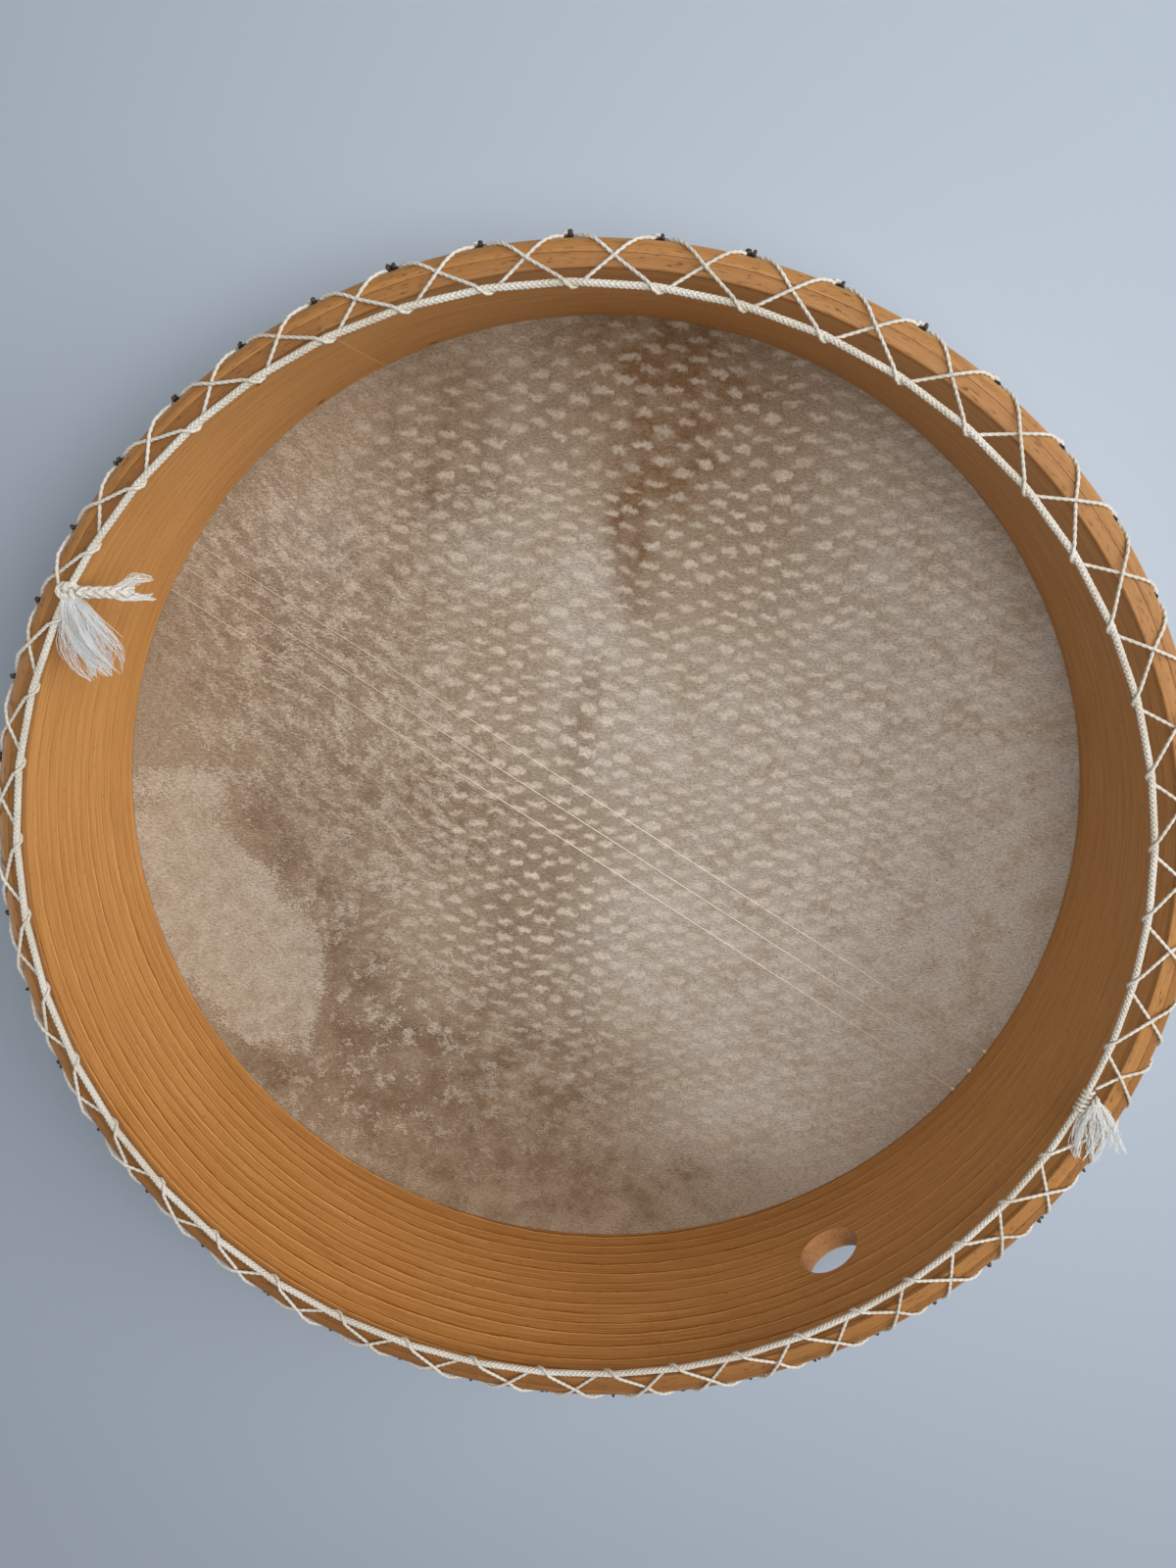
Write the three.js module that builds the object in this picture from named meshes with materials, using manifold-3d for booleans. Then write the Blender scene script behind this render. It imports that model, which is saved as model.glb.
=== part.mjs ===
// A bendir: a shallow frame drum with one goatskin head, laced to a cord ring behind the hoop.
// It lies on its playing face with the open back up. Millimetres, +Z up, the drum's axis on Z,
// the playing face at Z = 0 and the thumb hole on -Y.
import * as THREE from "three";
import { mergeVertices } from "three/addons/utils/BufferGeometryUtils.js";
import Module from "manifold-3d";

const wasm = await Module();
wasm.setup();

// Hoop: two plies of bent beech, one glued inside the other
const HOOP_OUTER_DIAMETER = 400;
const HOOP_DEPTH = 88;
const PLY_THICKNESS = 4.35;
const GLUE_LINE = 0.3;
const SHOULDER_RADIUS = 4; // rounds the back edge of the outer ply
const BEARING_EDGE_RADIUS = 3; // rounds the edge that the skin bends over
const SCARF_LENGTH = 16; // the overlap that closes each ply, along the hoop
const SCARF_GAP = 0.3;
const INNER_SCARF_ANGLE = 85;
const OUTER_SCARF_ANGLE = 200;
const THUMB_HOLE_DIAMETER = 24;
const THUMB_HOLE_HEIGHT = 42.5; // centre above the bearing edge

// Skin: a head and a collar in one piece, its edge pulled into a tab at each lacing hole
const SKIN_THICKNESS = 0.7;
const SEAT_GAP = 0.3; // between pieces that rest on each other
const TAB_DROP = 7; // tip of a tab below the back of the hoop
const VALLEY_DROP = 9.5; // edge of the collar between two tabs, below the back of the hoop
const FLARE_RUN = 14; // height over which the collar leaves the hoop
const VALLEY_FLARE = 1.2; // how far the edge stands off the hoop between two tabs
const LACE_HOLE_DROP = 10.5; // lacing holes below the back of the hoop
const THUMB_CUT_MARGIN = 1; // the collar is cut back this far round the thumb hole

// Lacing: one cord that goes twice round the drum, so the count of holes is odd
const LACE_DIAMETER = 1.4;
const LACE_HOLE_PAIRS = 23;
const LACE_START_ANGLE = 307.9;
const CORD_GAP = 0.45; // between two cords that lie on each other
const WRAP_ADVANCE = 6; // along the ring, from a leg's arrival to the next leg's start
const WRAP_START = 270; // straight under the ring
const WRAP_END = 50; // over the ring's top, on its outer side
const TIP_SPREAD = 1.4; // each leg beside the middle of its hole
const CROSSING_LIFT = 2.6; // how far a leg climbs to cross another
const CROSSING_RUN = 9; // length over which it climbs
const DRIFT_ONCE = 9; // uneven spacing of the holes by hand, once round the drum
const DRIFT_TWICE = 5.3; // the same, twice round the drum
const DRIFT_PHASE = 39;
const WHIP_TURNS = 4.75;

// Ring cord: hangs just inside the hoop's back edge, a little to one side
const RING_DIAMETER = 2.9;
const RING_INSET = 4; // middle of the cord inside the hoop's inner face
const RING_SET_OVER = 4.5;
const RING_SET_ANGLE = 153;
const RING_KNOT_ANGLE = 120.1;
const RING_KNOT_STRAND = 1.8;

// Lacing knot and the frayed ends of both cords
const LACE_KNOT_STRAND = 0.9;
const LACE_KNOT_LEAN = 35; // above the plane of the ring, seen along it
const LACE_KNOT_OFFSET = 3; // along the ring from the start of the lacing
const BRAIDED_TAIL_LENGTH = 25;
const BRAIDED_TAIL_TURN = 205; // from straight outwards at the knot
const FRAYED_TAIL_LENGTH = 25;
const FRAYED_TAIL_TURN = 140;
const FRAYED_TAIL_WIDTH = 13;
const FRAYED_TAIL_THICKNESS = 3;
const TAIL_DROOP = 6;
const TUFT_LENGTH = 21;
const TUFT_TURNS = [-70, -36]; // the lace's two ends, from straight outwards at their knot
const TUFT_DROOP = 0.5;
const TUFT_WIDTH = 4.5;
const TUFT_THICKNESS = 2.2;

// Snares: three thin lines across the inside of the head
const SNARE_DIAMETER = 0.5;
const SNARE_KNOT_DIAMETER = 1.2;
const SNARE_KNOT_LENGTH = 1.6;
const SNARE_COUNT = 3;
const SNARE_SPACING = 10.6;
const SNARE_SET_OFF = -4.9; // middle snare beside the drum's axis
const SNARE_ANGLE = -62.7;
const SNARE_SLOT_CLEARANCE = 0.35;

// Facets
const HOOP_FACETS = 80;
const ROUND_FACETS = 3;
const THUMB_HOLE_FACETS = 32;
const CORD_SIDES = 8;
const LACE_SIDES = 5;
const WHIP_STEPS = 8;
const WRAP_STEPS = 5;
const SHOULDER_STATIONS = [1 / 6, 1 / 2, 5 / 6]; // places round the shoulder where a leg bends
const KNOT_STEPS = 40;
const KNOT_SIDES = 5;
const LOOSE_END_STEPS = 5;

const TURN = 2 * Math.PI;
const rad = THREE.MathUtils.degToRad;
const up = new THREE.Vector3(0, 0, 1);

// Levels and radii that several pieces share
const hoopOuter = HOOP_OUTER_DIAMETER / 2;
const outerPlyInner = hoopOuter - PLY_THICKNESS;
const innerPlyOuter = outerPlyInner - GLUE_LINE;
const hoopInner = innerPlyOuter - PLY_THICKNESS;
const hoopBase = SKIN_THICKNESS + SEAT_GAP;
const hoopBack = hoopBase + HOOP_DEPTH;
const shoulder = Math.min(SHOULDER_RADIUS, PLY_THICKNESS);
const bearing = Math.min(BEARING_EDGE_RADIUS, PLY_THICKNESS);
const thumbHoleZ = hoopBase + THUMB_HOLE_HEIGHT;
const laceHoles = 2 * LACE_HOLE_PAIRS + 1;
const laceRadius = LACE_DIAMETER / 2;
const laceRest = SEAT_GAP + laceRadius; // middle of the lace above the wood it lies on
const ringRadius = RING_DIAMETER / 2;
const wrapRadius = ringRadius + CORD_GAP + laceRadius;
const ringZ = hoopBack + laceRest + wrapRadius;
const laceHoleZ = hoopBack - LACE_HOLE_DROP;
const tabZ = hoopBack - TAB_DROP;
const tabFlare = LACE_DIAMETER + 2 * SEAT_GAP; // room for the lace under a tab, at its hole

// Angle of the k-th lacing place, counted counter-clockwise from the lacing knot
function laceAngle(k) {
  const even = (TURN * k) / laceHoles;
  const drift = DRIFT_ONCE * Math.sin(even) + DRIFT_TWICE * Math.cos(2 * even - rad(DRIFT_PHASE));
  return rad(LACE_START_ANGLE) + even - drift / hoopInner;
}

function polar(radius, angle, z) {
  return new THREE.Vector3(radius * Math.cos(angle), radius * Math.sin(angle), z);
}

// Middle of the ring cord, from the drum's axis
function ringAt(angle) {
  return hoopInner - RING_INSET + RING_SET_OVER * Math.cos(angle - rad(RING_SET_ANGLE));
}

// A point beside the ring cord; turn 0 is outwards and a quarter turn is up
function besideRing(angle, turn, distance) {
  return polar(ringAt(angle) + distance * Math.cos(turn), angle, ringZ + distance * Math.sin(turn));
}

function buffer(points, faces) {
  const geometry = new THREE.BufferGeometry();
  const places = points.flatMap((p) => p.toArray());
  geometry.setAttribute("position", new THREE.Float32BufferAttribute(places, 3));
  geometry.setIndex(faces.flat());
  return geometry;
}

function solid(geometry) {
  const bare = geometry.clone();
  bare.deleteAttribute("normal");
  bare.deleteAttribute("uv");
  const merged = mergeVertices(bare, 1e-4);
  const mesh = new wasm.Mesh({
    numProp: 3,
    vertProperties: new Float32Array(merged.attributes.position.array),
    triVerts: new Uint32Array(merged.index.array),
  });
  return new wasm.Manifold(mesh);
}

// The geometry with each of the cutters taken out of it
function cut(geometry, cutters) {
  const left = cutters.reduce((body, cutter) => body.subtract(solid(cutter)), solid(geometry));
  const mesh = left.getMesh();
  const result = new THREE.BufferGeometry();
  result.setAttribute("position", new THREE.BufferAttribute(mesh.vertProperties, 3));
  result.setIndex(new THREE.BufferAttribute(mesh.triVerts, 1));
  return result;
}

// A closed tube of elliptical section along a row of points, mitred at each point
function sweep(path, halfWidths, halfThicknesses, sides) {
  const last = path.length - 1;
  const runs = path.slice(1).map((p, i) => p.clone().sub(path[i]).normalize());
  let side = new THREE.Vector3().crossVectors(up, runs[0]).normalize();
  const points = [];
  path.forEach((p, i) => {
    const run = runs[Math.max(i - 1, 0)];
    const next = runs[Math.min(i, last - 1)];
    const over = new THREE.Vector3().crossVectors(run, side);
    const mitre = run.clone().add(next).normalize();
    for (let s = 0; s < sides; s++) {
      const turn = (TURN * s) / sides;
      const offset = side.clone().multiplyScalar(halfWidths[i] * Math.cos(turn));
      offset.addScaledVector(over, halfThicknesses[i] * Math.sin(turn));
      offset.addScaledVector(run, -offset.dot(mitre) / run.dot(mitre));
      points.push(offset.add(p));
    }
    side.applyQuaternion(new THREE.Quaternion().setFromUnitVectors(run, next));
  });
  const faces = [];
  for (let i = 0; i < last; i++) {
    for (let s = 0; s < sides; s++) {
      const a = i * sides + s;
      const b = i * sides + ((s + 1) % sides);
      faces.push([a, b, b + sides], [a, b + sides, a + sides]);
    }
  }
  for (let s = 1; s < sides - 1; s++) {
    faces.push([0, s + 1, s], [last * sides, last * sides + s, last * sides + s + 1]);
  }
  return buffer(points, faces);
}

function cordTube(path, diameter, sides) {
  const half = path.map(() => diameter / 2);
  return sweep(path, half, half, sides);
}

// A closed profile of radius and height turned about Z
function turned(profile, facets) {
  const closed = [...profile, profile[0]].map(([radius, z]) => new THREE.Vector2(radius, z));
  return new THREE.LatheGeometry(closed, facets).rotateX(Math.PI / 2);
}

// Points on a quarter circle, both ends included
function quarter(radius, z, size, from) {
  return Array.from({ length: ROUND_FACETS + 1 }, (_, i) => {
    const turn = from + (i * TURN) / 4 / ROUND_FACETS;
    return [radius + size * Math.cos(turn), z + size * Math.sin(turn)];
  });
}

// The slanting saw cut where the two ends of a ply overlap
function scarf(inner, outer, angle) {
  const start = polar(inner, rad(angle), 0);
  const end = polar(outer, rad(angle) + SCARF_LENGTH / outer, 0);
  const run = end.clone().sub(start);
  const length = run.length() + 2 * PLY_THICKNESS;
  const blade = new THREE.BoxGeometry(length, SCARF_GAP, HOOP_DEPTH + 2 * PLY_THICKNESS);
  blade.rotateZ(Math.atan2(run.y, run.x));
  return blade.translate((start.x + end.x) / 2, (start.y + end.y) / 2, hoopBase + HOOP_DEPTH / 2);
}

function thumbHole(diameter) {
  const length = 2 * (hoopOuter - hoopInner) + 2 * tabFlare;
  const bore = new THREE.CylinderGeometry(diameter / 2, diameter / 2, length, THUMB_HOLE_FACETS);
  return bore.translate(0, -(hoopOuter + hoopInner) / 2, thumbHoleZ);
}

// Snares lie this high, so that their knots clear the skin
const snareZ = SKIN_THICKNESS + SEAT_GAP + SNARE_KNOT_DIAMETER / 2;

function snareOffset(i) {
  return SNARE_SET_OFF + (i - (SNARE_COUNT - 1) / 2) * SNARE_SPACING;
}

// Lays a shape that runs along X on the line of the i-th snare
function alongSnare(geometry, i) {
  return geometry.translate(0, snareOffset(i), snareZ).rotateZ(rad(SNARE_ANGLE));
}

// Slots in the bearing edge that the snares pass out through
function snareSlots() {
  const width = SNARE_DIAMETER + 2 * SNARE_SLOT_CLEARANCE;
  const depth = snareZ - hoopBase + width / 2;
  return Array.from({ length: SNARE_COUNT }, (_, i) => {
    const slot = new THREE.BoxGeometry(HOOP_OUTER_DIAMETER, width, 2 * depth);
    return alongSnare(slot.translate(0, 0, hoopBase - snareZ), i);
  });
}

function innerPly() {
  const profile = [
    [hoopInner, hoopBase],
    [innerPlyOuter, hoopBase],
    [innerPlyOuter, hoopBack],
    [hoopInner, hoopBack],
  ];
  const ring = turned(profile, HOOP_FACETS);
  const cutters = [scarf(hoopInner, innerPlyOuter, INNER_SCARF_ANGLE), thumbHole(THUMB_HOLE_DIAMETER)];
  return cut(ring, [...cutters, ...snareSlots()]);
}

function outerPly() {
  const profile = [
    [outerPlyInner, hoopBase],
    ...quarter(hoopOuter - bearing, hoopBase + bearing, bearing, -TURN / 4),
    ...quarter(hoopOuter - shoulder, hoopBack - shoulder, shoulder, 0),
    [outerPlyInner, hoopBack],
  ];
  const ring = turned(profile, HOOP_FACETS);
  const cutters = [scarf(outerPlyInner, hoopOuter, OUTER_SCARF_ANGLE), thumbHole(THUMB_HOLE_DIAMETER)];
  return cut(ring, [...cutters, ...snareSlots()]);
}

// Columns of the skin: one at each tab and one in each valley
const columns = Array.from({ length: 2 * laceHoles }, (_, i) => ({
  angle: i % 2 ? (laceAngle((i - 1) / 2) + laceAngle((i + 1) / 2)) / 2 : laceAngle(i / 2),
  tab: i % 2 === 0,
}));
const widestColumn = Math.max(...columns.slice(1).map((c, i) => c.angle - columns[i].angle));
// Its flat facets clear the round hoop
const skinInner = (hoopOuter + SEAT_GAP) / Math.cos(widestColumn / 2);
const flareZ = laceHoleZ - FLARE_RUN;
// A tab leans out evenly from where the flare starts: further at its tip than at its hole
const tipFlare = (tabFlare * (tabZ - flareZ)) / (laceHoleZ - flareZ);

function skinProfile(column) {
  const bend = bearing + SEAT_GAP;
  const middle = [skinInner - bend, hoopBase + bearing];
  const edgeZ = column.tab ? tabZ : hoopBack - VALLEY_DROP;
  const flare = column.tab ? tipFlare : VALLEY_FLARE;
  const outer = [
    ...quarter(...middle, bend + SKIN_THICKNESS, -TURN / 4),
    [skinInner + SKIN_THICKNESS, flareZ],
    [skinInner + SKIN_THICKNESS + flare, edgeZ],
  ];
  const inner = [...quarter(...middle, bend, -TURN / 4), [skinInner, flareZ], [skinInner + flare, edgeZ]];
  return [...outer, ...inner.reverse()];
}

function drumSkin() {
  const rings = columns.map((column) => skinProfile(column).map(([r, z]) => polar(r, column.angle, z)));
  const rows = rings[0].length;
  const points = [...rings.flat(), new THREE.Vector3(0, 0, 0), new THREE.Vector3(0, 0, SKIN_THICKNESS)];
  const under = points.length - 2;
  const over = points.length - 1;
  const faces = [];
  rings.forEach((_, i) => {
    const a = i * rows;
    const b = ((i + 1) % rings.length) * rows;
    for (let row = 0; row < rows - 1; row++) {
      faces.push([a + row, b + row, b + row + 1], [a + row, b + row + 1, a + row + 1]);
    }
    faces.push([under, b, a], [over, a + rows - 1, b + rows - 1]);
  });
  const holes = Array.from({ length: laceHoles }, (_, k) => laceHole(laceAngle(k)));
  return cut(buffer(points, faces), [thumbHole(THUMB_HOLE_DIAMETER + 2 * THUMB_CUT_MARGIN), ...holes]);
}

// A punched hole that leaves the lace its gap, straight out through the collar
function laceHole(angle) {
  const radius = laceRest / Math.cos(Math.PI / LACE_SIDES);
  const punch = new THREE.CylinderGeometry(radius, radius, 4 * tipFlare, LACE_SIDES);
  return punch.rotateZ(TURN / 4).translate(skinInner, 0, laceHoleZ).rotateZ(angle);
}

// A place on the back of the hoop, measured outwards from where the shoulder starts:
// over the flat, round the shoulder and down the outer wall, lifted off the wood
function overShoulder(distance, lift, angle) {
  const start = hoopOuter - shoulder;
  const turn = THREE.MathUtils.clamp(distance / shoulder, 0, TURN / 4);
  const flat = Math.min(distance, 0);
  const down = Math.max(distance - (shoulder * TURN) / 4, 0);
  const reach = shoulder + lift;
  const radius = start + flat + reach * Math.sin(turn);
  return polar(radius, angle, hoopBack - shoulder + reach * Math.cos(turn) - down);
}

// Where a leg passes over the edge of a tab
const tabTop = (shoulder * TURN) / 4 + TAB_DROP - shoulder - laceRest;

// One leg of the lacing between the ring and a tab, as points from the ring outwards.
// crossing is the share of its run at which it meets another leg, and raised lifts it over that one.
function leg(ringAngle, tabAngle, crossing, raised) {
  const start = ringAt(ringAngle) - hoopOuter + shoulder;
  const run = tabTop - start;
  const length = Math.hypot(run, (tabAngle - ringAngle) * hoopInner);
  const round = SHOULDER_STATIONS.map((station) => (((shoulder * TURN) / 4) * station - start) / run);
  const apart = (share) => Math.abs(share - crossing) * length;
  const shares = [crossing, ...round.filter((share) => share > 0 && apart(share) > LACE_DIAMETER), 1];
  return shares
    .sort((a, b) => a - b)
    .map((share) => {
      const climb = raised ? CROSSING_LIFT * Math.max(0, 1 - apart(share) / CROSSING_RUN) : 0;
      return overShoulder(start + run * share, laceRest + climb, ringAngle + (tabAngle - ringAngle) * share);
    });
}

const wrapHalf = WRAP_ADVANCE / 2 / hoopInner;
const tipHalf = TIP_SPREAD / hoopInner;
// Angle from one turn of the whipping to the next, a cord's gap apart on the ring's inner side
const whipPitch = (LACE_DIAMETER + CORD_GAP) / (ringAt(laceAngle(0)) - wrapRadius);

// Where a leg leaves the ring; the first one leaves beyond the whipping
function leaves(k) {
  const first = k % laceHoles === 0;
  return first ? arrives(k) + whipPitch * (WHIP_TURNS + 1) : laceAngle(k) + wrapHalf;
}

function arrives(k) {
  return laceAngle(k) - wrapHalf;
}

// Share of the run at which the legs between the k-th and the next place cross
function crossingShare(k) {
  const out = [leaves(k), laceAngle(k + 1) - tipHalf];
  const back = [arrives(k + 1), laceAngle(k) + tipHalf];
  return (back[0] - out[0]) / (out[1] - out[0] - back[1] + back[0]);
}

// Under the ring, up its inner side and over the top
function wrap(k) {
  const whole = WRAP_START - WRAP_END;
  return Array.from({ length: WRAP_STEPS + 1 }, (_, i) => {
    const share = i / WRAP_STEPS;
    return besideRing(arrives(k) + 2 * wrapHalf * share, rad(WRAP_START - whole * share), wrapRadius);
  });
}

// Down under a tab, out through its hole and back over its edge
function throughTab(k) {
  const angle = laceAngle(k);
  const outside = skinInner + SKIN_THICKNESS + laceRest;
  return [
    polar(hoopOuter + laceRest, angle, laceHoleZ),
    polar(outside + tabFlare, angle, laceHoleZ),
    polar(outside + tipFlare, angle + tipHalf, tabZ + laceRest),
  ];
}

// Turns of the lace's last end round the ring
function whipping() {
  const steps = Math.floor(WHIP_TURNS * WHIP_STEPS);
  const start = arrives(laceHoles * 2);
  return Array.from({ length: steps + 1 }, (_, i) => {
    const turns = i / WHIP_STEPS;
    return besideRing(start + whipPitch * turns, -TURN * (turns + 1 / 4), wrapRadius);
  });
}

// The whole lace: ring, tab, ring, tab, twice round, each second round laid over the first
function lacePath() {
  const path = [besideRing(leaves(0), rad(WRAP_END), wrapRadius)];
  for (let step = 0; step < 2 * laceHoles; step++) {
    const raised = step >= laceHoles;
    if (step % 2 === 0) {
      const outwards = leg(leaves(step), laceAngle(step + 1) - tipHalf, crossingShare(step), raised);
      path.push(...outwards, ...throughTab(step + 1));
    } else {
      const inwards = leg(arrives(step + 1), laceAngle(step) + tipHalf, crossingShare(step), raised);
      const ended = step + 1 === 2 * laceHoles;
      path.push(...inwards.reverse(), ...(ended ? whipping() : wrap(step + 1)));
    }
  }
  return path;
}

// Length of a cord, and the least gap between its stretches that aren't neighbours, on points along it
function measure(path, diameter) {
  const points = [];
  let length = 0;
  path.slice(1).forEach((p, i) => {
    const run = p.distanceTo(path[i]);
    const count = Math.ceil((2 * run) / diameter);
    for (let n = 0; n < count; n++) {
      points.push({ at: path[i].clone().lerp(p, n / count), along: length + (run * n) / count });
    }
    length += run;
  });
  let least = Infinity;
  points.forEach((a, i) => {
    for (const b of points.slice(i + 1)) {
      if (b.along - a.along > 3 * diameter) least = Math.min(least, a.at.distanceToSquared(b.at));
    }
  });
  return { length, gap: Math.sqrt(least) - diameter };
}

function lacingCord() {
  const path = lacePath();
  const { length, gap } = measure(path, LACE_DIAMETER);
  console.log(`lacing cord: ${length.toFixed(0)} mm long, least gap to itself ${gap.toFixed(2)} mm`);
  return cordTube(path, LACE_DIAMETER, LACE_SIDES);
}

// A tight overhand knot. Its strand leaves itself a cord's gap where it passes itself.
function knot(strand) {
  return new THREE.TorusKnotGeometry(strand + CORD_GAP, strand / 2, KNOT_STEPS, KNOT_SIDES);
}

// Half the width and half the height of such a knot
const knotReach = (strand) => 1.5 * (strand + CORD_GAP) + strand / 2;
const knotRise = (strand) => 0.5 * (strand + CORD_GAP) + strand / 2;

// The ring runs straight from each wrap of the lacing to the next, from one side of its knot to the other
function ringCord() {
  const knotAngle = rad(RING_KNOT_ANGLE);
  const clear = (knotReach(RING_KNOT_STRAND) + SEAT_GAP) / ringAt(knotAngle);
  const start = knotAngle + clear;
  const end = knotAngle + TURN - clear;
  const wraps = [];
  for (let k = -laceHoles; k < 2 * laceHoles; k++) {
    const angle = laceAngle(k);
    if (angle > start && angle < end) wraps.push(angle);
  }
  const path = [start, ...wraps, end].map((angle) => besideRing(angle, 0, 0));
  console.log(`ring cord: ${measure(path, RING_DIAMETER).length.toFixed(0)} mm round`);
  return cordTube(path, RING_DIAMETER, CORD_SIDES);
}

function ringKnot() {
  const middle = besideRing(rad(RING_KNOT_ANGLE), 0, 0);
  return knot(RING_KNOT_STRAND).rotateZ(rad(RING_KNOT_ANGLE)).translate(...middle);
}

// A cord's end that starts beside a knot and leads away at an angle in plan, drooping towards its tip
function looseEnd(middle, away, reach, length, droop) {
  const out = new THREE.Vector3(Math.cos(away), Math.sin(away), 0);
  return Array.from({ length: LOOSE_END_STEPS + 1 }, (_, i) => {
    const share = i / LOOSE_END_STEPS;
    const point = middle.clone().addScaledVector(out, reach + length * share);
    return point.addScaledVector(up, -droop * share * share);
  });
}

// The ring cord's first end, still braided
function braidedTail() {
  const middle = besideRing(rad(RING_KNOT_ANGLE), 0, 0);
  const reach = knotReach(RING_KNOT_STRAND) + SEAT_GAP;
  const away = rad(RING_KNOT_ANGLE + BRAIDED_TAIL_TURN);
  const path = looseEnd(middle, away, reach, BRAIDED_TAIL_LENGTH, TAIL_DROOP);
  return cordTube(path, RING_DIAMETER, CORD_SIDES);
}

// A frayed end: round at the knot, then a flat fan of fibres
function frayed(path, diameter, width, thickness) {
  const share = (i) => Math.sin((TURN / 4) * (i / (path.length - 1)));
  const widths = path.map((_, i) => THREE.MathUtils.lerp(diameter, width, share(i)) / 2);
  const thicknesses = path.map((_, i) => THREE.MathUtils.lerp(diameter, thickness, share(i)) / 2);
  return sweep(path, widths, thicknesses, CORD_SIDES);
}

function frayedTail() {
  const middle = besideRing(rad(RING_KNOT_ANGLE), 0, 0);
  const reach = knotReach(RING_KNOT_STRAND) + SEAT_GAP;
  const away = rad(RING_KNOT_ANGLE + FRAYED_TAIL_TURN);
  const path = looseEnd(middle, away, reach, FRAYED_TAIL_LENGTH, TAIL_DROOP);
  return frayed(path, RING_DIAMETER, FRAYED_TAIL_WIDTH, FRAYED_TAIL_THICKNESS);
}

const laceKnotAngle = laceAngle(0) + LACE_KNOT_OFFSET / hoopInner;
const laceKnotSeat = wrapRadius + laceRest + knotRise(LACE_KNOT_STRAND);
const laceKnotMiddle = besideRing(laceKnotAngle, rad(LACE_KNOT_LEAN), laceKnotSeat);

// The knot lies flat on the whipping, on its outer side
function laceKnot() {
  const flat = knot(LACE_KNOT_STRAND).rotateY(TURN / 4 - rad(LACE_KNOT_LEAN)).rotateZ(laceKnotAngle);
  return flat.translate(...laceKnotMiddle);
}

// The lace's two frayed ends, lying over the back of the hoop
function laceTuft(turn) {
  const reach = knotReach(LACE_KNOT_STRAND) + SEAT_GAP;
  const path = looseEnd(laceKnotMiddle, laceKnotAngle + rad(turn), reach, TUFT_LENGTH, TUFT_DROOP);
  return frayed(path, LACE_DIAMETER, TUFT_WIDTH, TUFT_THICKNESS);
}

// A thin line with a small knot just inside the hoop at one end
function snare(i) {
  const bend = bearing + SEAT_GAP;
  const reach = hoopOuter - bend;
  const half = Math.sqrt(reach ** 2 - snareOffset(i) ** 2);
  const wall = Math.sqrt(hoopInner ** 2 - snareOffset(i) ** 2) * Math.cos(Math.PI / HOOP_FACETS) - SEAT_GAP;
  const line = SNARE_DIAMETER / 2;
  const profile = [
    [0, -half],
    [line, -half],
    [line, wall - SNARE_KNOT_LENGTH],
    [SNARE_KNOT_DIAMETER / 2, wall - SNARE_KNOT_LENGTH / 2],
    [line, wall],
    [line, half],
    [0, half],
  ];
  const points = profile.map(([radius, along]) => new THREE.Vector2(radius, along));
  return alongSnare(new THREE.LatheGeometry(points, CORD_SIDES).rotateZ(-TURN / 4), i);
}

const beech = () => new THREE.MeshStandardMaterial({ color: 0xc4884a, roughness: 0.55, metalness: 0 });
const hide = () => new THREE.MeshStandardMaterial({ color: 0xa38c78, roughness: 0.8, metalness: 0 });
const cotton = () => new THREE.MeshStandardMaterial({ color: 0xe6dfcc, roughness: 0.9, metalness: 0 });
const gut = () => new THREE.MeshStandardMaterial({ color: 0xd8cdb6, roughness: 0.35, metalness: 0 });

const bendir = new THREE.Group();

function add(name, geometry, material) {
  const mesh = new THREE.Mesh(geometry, material);
  mesh.name = name;
  bendir.add(mesh);
}

add("hoop_inner_ply", innerPly(), beech());
add("hoop_outer_ply", outerPly(), beech());
add("drum_skin", drumSkin(), hide());
add("ring_cord", ringCord(), cotton());
add("ring_cord_knot", ringKnot(), cotton());
add("ring_cord_braided_tail", braidedTail(), cotton());
add("ring_cord_frayed_tail", frayedTail(), cotton());
add("lacing_cord", lacingCord(), cotton());
add("lacing_knot", laceKnot(), cotton());
TUFT_TURNS.forEach((turn, i) => add(`lacing_tuft_${i + 1}`, laceTuft(turn), cotton()));
for (let i = 0; i < SNARE_COUNT; i++) {
  add(`snare_${i + 1}`, snare(i), gut());
}

export default bendir;
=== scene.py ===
"""Bendir: the finish of a laced frame drum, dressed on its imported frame. Metres, drum's axis on Z."""

import math

import bpy
from bpy.props import FloatProperty, FloatVectorProperty, IntProperty, PointerProperty
from mathutils import Matrix, Vector, noise


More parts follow.
